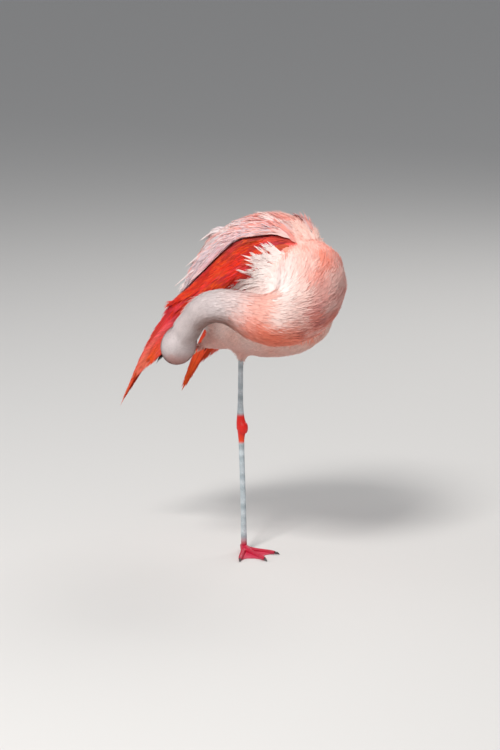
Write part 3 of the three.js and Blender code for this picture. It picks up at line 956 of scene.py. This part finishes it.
def coatPiece(name, chosen, look, slot):
    # One joined coat of small feathers that lie on the skin, rooted in the chosen faces.
    rng = random.Random(look["seed"])
    vanes = []
    for root in scatterRoots(chosen, look):
        if nearEye(root):
            continue
        size = look["sizeAt"](root) * rng.uniform(0.85, 1.15)
        start = atSkin(root)
        lift = start["depth"] * rng.uniform(*look["rise"]) + ruffled(root) * rng.uniform(0.6, 1.1)
        turn = rng.gauss(0, look["stray"])
        spine, normals = laySpine(root, look["length"] * size, lift, turn, look)
        if atSkin(spine[-1])["region"] in look["avoid"] and root.x > -0.06:
            continue
        tint = start["tint"] * rng.gauss(1, look["mottle"])
        if look["palette"]:
            tint = mix(tint, look["palette"](rng, root), look["paletteShare"])
        tip = mix(tint, look["tipTone"], look["tipShare"]) if "tipShare" in look else tint
        vanes.append((spine, normals, look["width"] * size, [tint * look["rootShade"], tip],
                      start["uv"]))
    featherPiece(name, vanes, look, slot)


def rearTrail(p):
    # Feathers that leave the skin near the tail hang down and back.
    return Vector((-0.57, 0, -0.82)) if p.x < -0.04 else None


def neckSize(p):
    # Feathers grow from the throat to the breast.
    return 1 + 1.5 * float(smoothstep(0.01, 0.13, p.x))


coatLook = {
    "thick": 0.0005,        # of a vane, metres as all lengths
    "cup": 0.10,            # how hollow it is
    "soft": 0.75,           # how far its shading follows the coat
    "rise": (0.62, 0.80),   # where its tip lies in the coat's depth
    "stray": 0.04,          # how unevenly the feathers turn
    "mottle": 0.04,         # and how unevenly they are toned
    "rootShade": 0.92,
    "sizeAt": lambda p: 1.0,
    "widest": 0,            # where sizeAt spreads the roots too, its largest value
    "follow": 0.6,          # how readily a feather turns with the lie of the coat
    "sag": 0,
    "heading": None,        # a fixed way to lie
    "trail": None,          # where it turns once it has left the skin
    "avoid": (),            # regions that it doesn't reach over
    "palette": None,
}
neckLook = dict(
    coatLook, length=0.0110, width=0.0046, stations=[0, 0.5, 0.86, 1], profile=[1.0, 0.8],
    thick=0.0002, cup=0.05, soft=0.9, rise=(0.62, 0.74), stray=0.10, mottle=0.03,
    spacing=0.0024, sizeAt=neckSize, widest=2.5, rootSeed=1, seed=11, avoid=("wing",),
    barbs={"count": 3, "from": 0.45, "run": 0.0050, "fray": 1.0, "loose": 0.0001,
           "width": 0.0007, "streak": 0.03})
headLook = dict(
    coatLook, length=0.0072, width=0.0020, stations=[0, 0.5, 0.86, 1], profile=[1.0, 0.55],
    thick=0.0001, cup=0.02, soft=0.9, rise=(0.50, 0.75), stray=0.14, spacing=0.00118,
    rootSeed=2, seed=12, avoid=("wing",))
bodyLook = dict(
    coatLook, length=0.026, width=0.0125, stations=[0, 0.3, 0.62, 0.9, 1],
    profile=[0.8, 1.0, 0.62], thick=0.0004, cup=0.08, rise=(0.62, 0.72), stray=0.10,
    spacing=0.0054, rootSeed=3, seed=13, tipTone=tones["white"], tipShare=0.3,
    trail=rearTrail, avoid=("wing",), wingGap=0.016,
    barbs={"count": 4, "from": 0.5, "run": 0.0085, "fray": 1.05, "loose": 0.0002,
           "width": 0.0013, "streak": 0.04})
thighLook = dict(
    bodyLook, length=0.012, width=0.0050, spacing=0.0032, rootSeed=7, seed=14, stray=0.06,
    rise=(0.25, 0.4), trail=lambda p: Vector((0, 0, -1)), lowest=0.353,
    barbs=dict(bodyLook["barbs"], count=2, run=0.004))

finishPiece("skin", skin.data, "pale_plumage", skinSettings["flesh"], skinDown)
coatPiece("neck_feathers", faceRegions == "neck", neckLook, "neck_plumage")
coatPiece("head_feathers", faceRegions == "head", headLook, "neck_plumage")
coatPiece("thigh_feathers", (faceRegions == "thigh") & (faceCentres[:, 2] > thighLook["lowest"]),
          thighLook, "pale_plumage")
print("neck, head and thigh made")


def smoothLine(points, count):
    # Evenly numbered points on a smooth curve through the given ones.
    padded = [points[0] * 2 - points[1], *points, points[-1] * 2 - points[-2]]
    line = []
    for k in range(count):
        t = k / (count - 1) * (len(points) - 1)
        i = min(int(t), len(points) - 2)
        f = t - i
        a, b, c, d = padded[i:i + 4]
        line.append(0.5 * ((2 * b) + (c - a) * f + (2 * a - 5 * b + 4 * c - d) * f ** 2
                           + (3 * b - a - 3 * c + d) * f ** 3))
    return line


def routePiece(name, feathers, look, slot, replaced):
    # Long feathers on routes of their own.
    vanes = []
    stations = look["stations"]
    for feather in feathers:
        spine = smoothLine(feather["line"], len(stations))
        facing = feather["facing"].normalized()
        normals = []
        for k, share in enumerate(stations):
            ahead = (spine[min(k + 1, len(spine) - 1)] - spine[max(k - 1, 0)]).normalized()
            twist = Quaternion(ahead, feather["twist"] * share ** 2)
            normals.append(twist @ onSurface(facing, ahead))
        vanes.append((spine, normals, feather["width"], feather["tones"], atSkin(spine[0])["uv"]))
    featherPiece(name, vanes, look, slot, replaced)


def wingFaces(region, side):
    # A region's faces on one side, as far back as the skin carries feathers.
    inFront = faceCentres[:, 0] > skinSettings["rearCut"] + 0.022
    onSide = (faceCentres[:, 1] < bodyY) == (side == "right")
    return (faceRegions == region) & inFront & onSide


def covertPalette(rng, root):
    # Orange in front, red in the middle, pink and magenta towards the quills.
    rear = float(smoothstep(0.03, -0.09, root.x))
    pick = rng.random()
    if pick < 0.12 + 0.35 * rear:
        return mix(tones["pink"], tones["magenta"], rng.random())
    if pick < 0.68:
        return tones["covert"]
    return tones["orange"] if pick < 0.88 else mix(tones["covert"], tones["deep"], 0.6)


def mantlePalette(rng, root):
    pick = rng.random()
    # Feathers near the top of the back take coral and salmon, the same painted shade along the
    # back's top edge as on the skin beneath.
    ridge = abs(root.y - bodyY) < 0.042 and root.z > 0.52
    if ridge and pick < 0.5:
        return tones["coral"] if pick < 0.22 else tones["salmon"]
    if pick < 0.65:
        return tones["scapular"]
    return tones["white"] if pick < 0.9 else tones["scapularPink"]


def covertSize(p):
    # Shorter coverts where the long plumes take over.
    return 1 - 0.5 * float(smoothstep(-0.01, -0.065, p.x))


covertLook = dict(
    coatLook, length=0.060, width=0.0110, stations=[0, 0.2, 0.4, 0.6, 0.8, 0.93, 1],
    profile=[0.6, 0.95, 1.0, 0.95, 0.6], soft=0.65, mottle=0.08, spacing=0.0068,
    sizeAt=covertSize, rootSeed=4, seed=21, trail=rearTrail, palette=covertPalette,
    paletteShare=0.75, tipTone=tones["orange"], tipShare=0.15, rootShade=0.55,
    barbs={"count": 13, "from": 0.2, "run": 0.015, "fray": 0.98, "loose": 0.0004,
           "width": 0.0011, "streak": 0.2, "edgeTone": tones["pink"], "edgeShare": 0.5})
mantleLook = dict(
    coatLook, length=0.086, width=0.0150, stations=[0, 0.16, 0.33, 0.5, 0.67, 0.82, 0.94, 1],
    profile=[0.6, 0.9, 1.0, 0.98, 0.85, 0.5], stray=0.03, spacing=0.0088, rootSeed=5, seed=22,
    palette=mantlePalette, paletteShare=0.7, tipTone=tones["white"], tipShare=0.3,
    rootShade=0.88, sag=0.05, trail=rearTrail, avoid=("wing",),
    barbs={"count": 14, "from": 0.25, "run": 0.018, "fray": 1.0, "loose": 0.0002,
           "width": 0.0016, "streak": 0.06, "edgeTone": tones["scapularPink"],
           "edgeShare": 0.2})
flankLook = dict(
    coatLook, length=0.032, width=0.0042, stations=[0, 0.25, 0.5, 0.75, 1],
    profile=[0.9, 1.0, 0.65], cup=0.15, soft=0.5, rise=(0.8, 1.35), stray=0.18, mottle=0.03,
    spacing=0.0037, rootSeed=6, seed=23, palette=lambda rng, root: tones["bright"],
    paletteShare=0.8, tipTone=tones["bright"], tipShare=0.6, heading=Vector((-1, 0, 0.12)),
    follow=0.05, band=(0.009, 0.026), rear=-0.05, top=0.548, neckAbove=0.475,
    barbs={"count": 6, "from": 0.3, "run": 0.014, "fray": 1.6, "loose": 0.0012,
           "width": 0.0011, "streak": 0.03})

plumeLook = {"stations": [0, 0.1, 0.2, 0.3, 0.4, 0.5, 0.6, 0.7, 0.8, 0.9, 0.97, 1],
             "profile": [0.5, 0.8, 0.95, 1.0, 1.0, 0.98, 0.92, 0.8, 0.58, 0.3],
             "thick": 0.0006, "cup": 0.12, "soft": 0.3, "seed": 31,
             "barbs": {"count": 170, "from": 0.03, "run": 0.022, "fray": 1.0, "loose": 0.0004,
                       "width": 0.0012, "streak": 0.16, "edgeTone": tones["pink"],
                       "edgeShare": 0.35}}

# Tip, middle, root, full width and lie of each long plume, from the lowest tip to the shortest.
plumeTable = [
    ((-229, -83, 241), (-150, -82, 372), (-70, -78, 470), 23, 0.5),
    ((-222, -80, 254), (-146, -79, 375), (-70, -75, 466), 24, 0.35),
    ((-212, -80, 268), (-142, -76, 378), (-70, -72, 462), 24, 0.2),
    ((-196, -86, 296), (-132, -90, 372), (-66, -84, 446), 26, 0.2),
    ((-184, -90, 306), (-126, -94, 374), (-62, -86, 440), 27, -0.3),
    ((-166, -96, 322), (-118, -98, 376), (-60, -88, 430), 30, -0.5),
    ((-142, -100, 338), (-104, -100, 378), (-56, -88, 420), 28, -0.2),
]
quillTable = [
    ((-136 - i * 11, -62, 352 - i * 11), (-104, -58, 388 + i * 7), (-70, -58, 424 + i * 9),
     20, 0.1)
    for i in range(3)
]
mantleTips = [(-77, -28, 553), (-100, -42, 506), (-112, -58, 472), (-130, -68, 428)]
tipTable = [
    ((x, y, z), (x + 30, y * 0.95 - 3, z + 16 + i * 4),
     (x + 62 - i * 6, y * 0.9 - 4, z + 22 + i * 12), 19, 0.2)
    for i, (x, y, z) in enumerate(mantleTips)
]


def featherTable(table, side, facing, toneOf):
    feathers = []
    for k, (tip, middle, root, width, twist) in enumerate(table):
        line = bodyPoints([root, middle, tip])
        face = Vector(facing)
        if side == "left":
            line = mirrorY(line)
            face.y = -face.y
        feathers.append({"line": line, "facing": face, "width": width * mm,
                         "twist": twist if side == "right" else -twist, "tones": toneOf(k)})
    return feathers


def plumeTones(k):
    tip = tones["flap"] if k in (4, 5) else tones["plumeTip"]
    return (mix(tones["magenta"], tones["pink"], 0.1 * k), mix(tones["plume"], tip, 0.9))


scapularSettings = {"rows": 4, "rowStep": 5.5 * mm, "along": 15, "span": 0.30, "width": 16 * mm,
                    "over": 4.5 * mm, "dip": 4.0 * mm}


def scapularVanes(side):
    # Long feathers in rows along the mantle's lower rim, the lowest row clear of the coverts.
    form = scapularSettings
    rng = random.Random(61)
    rim = smoothLine(routes["rim"] if side == "right" else mirrorY(routes["rim"]), 120)
    vanes = []
    for row in range(form["rows"]):
        for k in range(form["along"]):
            first = (k + rng.uniform(-0.3, 0.3) + 0.5 * (row % 2)) / form["along"] * 0.80
            first = max(first - 0.06, 0)
            spine, normals = [], []
            lift = form["over"] * (1 - 0.15 * row) * rng.uniform(0.85, 1.1)
            for share in mantleLook["stations"]:
                place = (first + form["span"] * share) * (len(rim) - 1)
                i = min(int(place), len(rim) - 2)
                point = rim[i] + (rim[i + 1] - rim[i]) * min(place - i, 2.0)
                found = atSkin(point)
                ahead = (rim[i + 1] - rim[i]).normalized()
                above = found["normal"].cross(ahead).normalized()
                above *= 1 if above.z > 0 else -1
                shift = row * form["rowStep"] + 2 * mm - form["dip"] * share ** 2
                here = atSkin(point + above * shift)
                low = 0.0008 + (here["depth"] + lift) * min(1, 0.25 + 2.2 * share)
                spine.append(here["place"] + here["normal"] * low)
                normals.append(here["normal"].copy())
            tint = mix(tones["scapular"], mantlePalette(rng, spine[0]), 0.6) * rng.gauss(0.97, 0.03)
            front = float(smoothstep(0.0, 0.08, spine[0].x))
            tint = mix(tint, tones["scapularPink"], front * 0.5 * rng.random())
            tip = mix(tint, tones["pink"], 0.35 if row == 0 and spine[-1].x < 0.0 else 0.1)
            vanes.append((spine, normals, form["width"] * rng.uniform(0.8, 1.1), [tint, tip],
                          atSkin(spine[0])["uv"]))
    return vanes


for side in sides:
    coatPiece(f"coverts_{side}", wingFaces("wing", side), covertLook, "red_plumage")
    coatPiece(f"back_feathers_{side}", wingFaces("mantle", side), mantleLook, "white_plumage")
    featherPiece(f"scapulars_{side}", scapularVanes(side), dict(mantleLook, seed=35),
                 "white_plumage")
    routePiece(f"plumes_{side}", featherTable(plumeTable, side, (-0.25, -0.95, 0.15), plumeTones),
               plumeLook, "red_plumage", [f"wing_{side}"])
    routePiece(f"mantle_tips_{side}",
               featherTable(tipTable, side, (-0.55, -0.5, 0.65),
                            lambda k: (tones["scapular"], tones["white"])),
               dict(plumeLook, barbs=dict(mantleLook["barbs"], count=50), seed=32),
               "white_plumage", [f"mantle_{side}"])
    routePiece(f"quills_{side}",
               featherTable(quillTable, side, (-0.2, -0.95, 0.1),
                            lambda k: (tones["quill"], tones["quill"])),
               dict(plumeLook, barbs=dict(plumeLook["barbs"], edgeShare=0.0), seed=33),
               "black_quill", [f"primaries_{side}"])


def wingDistance():
    # How far each flank or breast face lies from the wing on its side.
    wings = {side: treeOf(f"wing_{side}") for side in sides}
    away = np.full(len(faceCentres), 1.0)
    for k in np.nonzero((faceRegions == "trunk") | (faceRegions == "neck"))[0]:
        tree = wings["right" if faceCentres[k, 1] < bodyY else "left"]
        away[k] = tree.find_nearest(Vector(faceCentres[k]))[3]
    return away


# The white tufts grow in a band along the wing, and the body feathers a little away from it.
fromWing = wingDistance()
inner, outer = flankLook["band"]
ahead, height = faceCentres[:, 0] > flankLook["rear"], faceCentres[:, 2]
flankEdge = (fromWing > inner) & (fromWing < outer) & ahead & (height < flankLook["top"])
flankEdge &= (faceRegions != "neck") | (height > flankLook["neckAbove"])
bodyFaces = (faceRegions == "trunk") & ((fromWing > bodyLook["wingGap"]) | ~ahead)
coatPiece("flank_feathers", flankEdge, flankLook, "white_plumage")
coatPiece("body_feathers", bodyFaces, bodyLook, "pale_plumage")

tailTable = [((-196 + abs(i) * 5, i * 9, 348), (-142, i * 7, 390 - i * i), (-84, i * 4, 420),
              26, 0.0) for i in range(-3, 4)]
routePiece("tail_feathers", featherTable(tailTable, "right", (0.45, 0.0, 0.85),
                                         lambda k: (tones["salmon"], tones["scapularPink"])),
           dict(plumeLook, seed=34), "pale_plumage", ["tail"])
print("wings, back and tail made")


legSettings = {
    "ring": 1.3 * mm, "around": 22, "scuteStep": 4.6 * mm, "groove": 0.32 * mm,
    "endRings": 3,          # how many rings round off each end
    "grey": srgb("d9e3e8"), "greyDark": srgb("aab9c0"), "red": srgb("f51400"),
    "orange": srgb("fb4206"), "crimson": srgb("c80f3a"), "web": srgb("d63a5a"),
}


def station(values, t):
    return float(np.interp(t, np.linspace(0, 1, len(values)), values))


def limbSkin(name, points, highs, wides, up, tintAt, replaced):
    # A tube of scaled skin: a grid is rolled round the limb, with scutes raised along its front.
    length = sum((b - a).length for a, b in zip(points, points[1:]))
    rings = int(length / legSettings["ring"])
    around = legSettings["around"]
    line = smoothLine(points, rings + 1)
    bm = bmesh.new()
    bmesh.ops.create_grid(bm, x_segments=around, y_segments=rings, size=1)
    tints = {}
    for vert in bm.verts:
        i = round((vert.co.x + 1) / 2 * around)
        j = round((vert.co.y + 1) / 2 * rings)
        t = j / rings
        ahead = (line[min(j + 1, rings)] - line[max(j - 1, 0)]).normalized()
        high = (up - ahead * up.dot(ahead)).normalized()
        wide = ahead.cross(high)
        angle = 2 * math.pi * i / around
        front = max(math.cos(angle), 0) ** 0.6 + 0.7 * max(-math.cos(angle), 0) ** 0.6
        phase = t * length / legSettings["scuteStep"] + (0.5 if math.cos(angle) < 0 else 0)
        bulge = abs(math.sin(math.pi * phase)) ** 0.5 * front * legSettings["groove"]
        fromEnd = min(min(t, 1 - t) * rings / legSettings["endRings"], 1)
        close = math.sqrt(max(0, 1 - (1 - fromEnd) ** 2))
        reach = (station(highs, t) * mm + bulge) * close
        side = (station(wides, t) * mm + bulge) * close
        vert.co = line[j] + high * math.cos(angle) * reach + wide * math.sin(angle) * side
        tints[vert] = tintAt(line[j], t) * (0.88 + 0.12 * bulge / legSettings["groove"])
    doubles = bmesh.ops.find_doubles(bm, verts=bm.verts, dist=0.00002)["targetmap"]
    bmesh.ops.weld_verts(bm, targetmap=doubles)
    kept = [tints[v] for v in bm.verts]
    bmesh.ops.recalc_face_normals(bm, faces=bm.faces)
    finishPiece(name, smoothShaded(meshFrom(bm, name), kept), "leg_skin", replaced)


def standingTint(point, t):
    red = smoothstep(0.193, 0.200, point.z) * smoothstep(0.250, 0.242, point.z)
    foot = smoothstep(0.030, 0.012, point.z)
    grey = mix(legSettings["grey"], legSettings["greyDark"],
               0.5 + 0.5 * math.sin(point.z * 290) * math.sin(point.z * 61))
    warm = mix(legSettings["red"], legSettings["orange"], smoothstep(0.215, 0.20, point.z))
    return mix(mix(grey, warm, red), legSettings["crimson"], foot)


# Half widths up the leg, four for each stretch of its line: the shank, the ankle, the tibia.
standingHigh = [5.2, 5.1, 4.9, 4.8, 4.7, 4.7, 4.7, 4.7, 5.1, 6.6, 8.4, 9.7, 10.5, 10.5, 9.4, 7.9,
                6.2, 4.7, 4.4, 4.3, 4.2]
standingWide = [4.8, 4.7, 4.5, 4.4, 4.3, 4.3, 4.3, 4.3, 4.8, 6.1, 7.4, 8.3, 8.9, 8.9, 8.1, 7.0,
                5.7, 4.4, 4.1, 4.0, 4.0]
standingLine = plainPoints([(0, 0, 7), (-2, 0, 90), (-6, 0, 200), (-4, 0, 222), (-8, 0, 246),
                            (-9, 2, 348)])
limbSkin("leg_skin_right", standingLine, standingHigh, standingWide, Vector((1, 0, 0)),
         standingTint, ["shank_right", "ankle_right", "tibia_right"])

foldedAnkle = Vector((-82, 54, 362)) * mm
foldedFoot = Vector((112, 50, 396)) * mm


def foldedTint(point, t):
    red = smoothstep(0.026, 0.018, (point - foldedAnkle).length)
    grey = mix(legSettings["grey"], legSettings["greyDark"], 0.5 + 0.5 * math.sin(t * 40))
    return mix(grey, legSettings["red"], red)


along = (foldedFoot - foldedAnkle).normalized()
limbSkin("leg_skin_left", [foldedFoot - along * 8 * mm, foldedAnkle + along * 60 * mm,
                           foldedAnkle + along * 21 * mm, foldedAnkle,
                           Vector((-64, 54, 378)) * mm, Vector((-46, 52, 392)) * mm],
         [5.2, 4.7, 4.6, 5.0, 8.5, 10.2, 7.0, 4.6, 4.2],
         [4.8, 4.3, 4.2, 4.6, 7.4, 8.8, 6.4, 4.4, 4.0],
         Vector((0, 0, 1)), foldedTint, ["shank_left", "ankle_left", "tibia_left"])


footSettings = {
    "voxel": 0.00075,
    "webTo": 0.0022, "toeFrom": 0.0042,     # height above the sole, web to toe
    "ridge": 0.00018, "ridges": 2100,       # the scutes across the toes
}


def footSkinPiece(side):
    # The foot from its solid: fine, rounded, with the toes darker than the webs between them.
    name, node = f"foot_skin_{side}", f"foot_{side}"
    fine, bm = fineShell(name, mergedCopy([node]), footSettings["voxel"], 3)
    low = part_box(node)[0].z
    tints = []
    for vert in bm.verts:
        thick = 0.8
        if side == "right":
            thick = smoothstep(footSettings["webTo"], footSettings["toeFrom"], vert.co.z - low)
        vert.co.z = max(vert.co.z, low)
        wave = math.sin(vert.co.x * footSettings["ridges"])
        vert.co += vert.normal * footSettings["ridge"] * wave * float(thick)
        vert.co.z = max(vert.co.z, low)
        tints.append(mix(legSettings["web"], legSettings["crimson"], thick))
    finishPiece(name, smoothShaded(meshFrom(bm, fine), tints), "foot_skin", [node])


def hornPiece(name, node, slot, voxel, tintAt, shapeAt=None, seat=None):
    # Horn from its solid, smoothed; a seat draws the end that meets another piece into it.
    fine, bm = fineShell(name, mergedCopy([node]), voxel, 4)
    bm.normal_update()
    tints = [tintAt(v.co) for v in bm.verts]
    for vert in bm.verts:
        if shapeAt:
            vert.co -= vert.normal * shapeAt(vert.co)
        if seat:
            gap = seat["tree"].find_nearest(vert.co)[3]
            vert.co += seat["way"] * max(seat["reach"] - gap, 0) * seat["pull"]
    finishPiece(name, smoothShaded(meshFrom(bm, fine), tints), slot, [node])


clawTone = srgb("34262a")
for side in sides:
    footSkinPiece(side)
    for toe in ("inner", "middle", "outer"):
        hornPiece(f"claw_horn_{side}_{toe}", f"claw_{side}_{toe}", "claw_horn", 0.00045,
                  lambda p: clawTone)
print("legs and feet made")


billSettings = {"pale": srgb("e9c9c0"), "blush": srgb("d98f86"), "black": srgb("15100f"),
                "blackFrom": 0.030, "blackTo": 0.036, "nostrilAhead": 0.017,
                "nostrilLong": 0.009, "nostrilDeep": 0.0011}
billRoot = headCentre + billAxis * 0.0285
eyeAxis = (eyes["left"] - eyes["right"]).normalized()


def billTint(point):
    reach = (point - billRoot).length
    black = smoothstep(billSettings["blackFrom"], billSettings["blackTo"], reach)
    blush = smoothstep(0.0, 0.02, reach)
    tone = mix(billSettings["blush"], billSettings["pale"], blush)
    return mix(mix(tone, billSettings["black"], black), billSettings["black"],
               0.85 * nostril(point))


def nostril(point):
    offset = point - billRoot
    ahead = offset.dot(billAxis) - billSettings["nostrilAhead"]
    sideways = abs(offset.dot(eyeAxis))
    height = (offset - billAxis * offset.dot(billAxis) - eyeAxis * offset.dot(eyeAxis)).length
    slit = (ahead / billSettings["nostrilLong"] * 2) ** 2 + ((height - 0.004) / 0.0016) ** 2
    return float(smoothstep(1.2, 0.4, slit)) * (1.0 if sideways > 0.005 else 0.0)


faceSeat = {"tree": treeOf("head"), "way": -billAxis, "reach": 5.5 * mm, "pull": 1.4}
hornPiece("bill_horn_upper", "bill_upper", "bill_horn", 0.0009, billTint,
          lambda p: nostril(p) * billSettings["nostrilDeep"], faceSeat)
hornPiece("bill_horn_lower", "bill_lower", "bill_horn", 0.0009, billTint, seat=faceSeat)

eyeSettings = {"iris": srgb("e9df9e"), "irisEdge": srgb("b8a558"), "pupil": srgb("070606"),
               "rim": srgb("3a2420"), "pupilAngle": 0.36, "irisAngle": 0.86,
               "lidThick": 1.25 * mm, "lidRing": 5.3 * mm, "lidShape": (0.94, 1.14, 1.15)}


def settleOrder(bm):
    # A spin leaves edges and faces in a new order on each run, so they are put in a fixed one.
    way = Vector((1.0, 1.618, 2.718))
    for parts in (bm.edges, bm.faces):
        parts.sort(key=lambda part: sum(vert.co.dot(way) for vert in part.verts))


def eyeFrame(side):
    # The way an eye looks, and the turn from +Z to it.
    outward = eyeAxis if side == "left" else -eyeAxis
    return outward, outward.to_track_quat("Z", "Y")


def eyePiece(side):
    # A ball with the pupil and the iris as rings about the way it looks.
    low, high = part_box(f"eye_{side}")
    _, turn = eyeFrame(side)
    pupil, edge = eyeSettings["pupilAngle"], eyeSettings["irisAngle"]
    bm = bmesh.new()
    bmesh.ops.create_uvsphere(bm, u_segments=40, v_segments=24, radius=(high.x - low.x) / 2)
    settleOrder(bm)
    tints = []
    for vert in bm.verts:
        angle = vert.co.normalized().angle(Vector((0, 0, 1)))
        iris = mix(eyeSettings["iris"], eyeSettings["irisEdge"], smoothstep(pupil, edge, angle))
        tone = mix(eyeSettings["pupil"], iris, smoothstep(pupil - 0.05, pupil + 0.03, angle))
        tints.append(mix(tone, eyeSettings["rim"], smoothstep(edge, edge + 0.1, angle)))
        vert.co = turn @ vert.co + eyes[side]
    name = f"eyeball_{side}"
    finishPiece(name, smoothShaded(meshFrom(bm, name), tints), "eye", [f"eye_{side}"])


def lidPiece(side):
    # A fleshy rim spun round the eye, a little longer towards the bill, laid on the face.
    outward, turn = eyeFrame(side)
    bm = bmesh.new()
    profile = bmesh.ops.create_circle(bm, segments=12, radius=eyeSettings["lidThick"])["verts"]
    bmesh.ops.rotate(bm, verts=profile, cent=(0, 0, 0),
                     matrix=Quaternion((1, 0, 0), math.pi / 2).to_matrix())
    bmesh.ops.translate(bm, verts=profile, vec=(eyeSettings["lidRing"], 0, 0))
    bmesh.ops.spin(bm, geom=bm.verts[:] + bm.edges[:], cent=(0, 0, 0), axis=(0, 0, 1),
                   angle=2 * math.pi, steps=48, use_merge=True)
    bmesh.ops.remove_doubles(bm, verts=bm.verts, dist=1e-5)
    bmesh.ops.scale(bm, verts=bm.verts, vec=eyeSettings["lidShape"])
    bmesh.ops.recalc_face_normals(bm, faces=bm.faces)
    settleOrder(bm)
    ahead = turn.inverted() @ billAxis
    roll = Quaternion((0, 0, 1), math.atan2(ahead.y, ahead.x) - math.pi / 2)
    for vert in bm.verts:
        local = roll @ vert.co
        rim = Vector((local.x, local.y, 0)).normalized() * eyeSettings["lidRing"]
        over = turn @ rim + eyes[side] + outward * 30 * mm
        hit = skinTree.ray_cast(over, -outward)[0] or eyes[side]
        level = (hit - eyes[side]).dot(outward)
        vert.co = turn @ local + eyes[side] + outward * (level + 0.5 * mm)
    name = f"eyelid_{side}"
    finishPiece(name, smoothShaded(meshFrom(bm, name)), "neck_plumage", material=lidSkin)


for side in sides:
    eyePiece(side)
    lidPiece(side)
print("bill and eyes made")
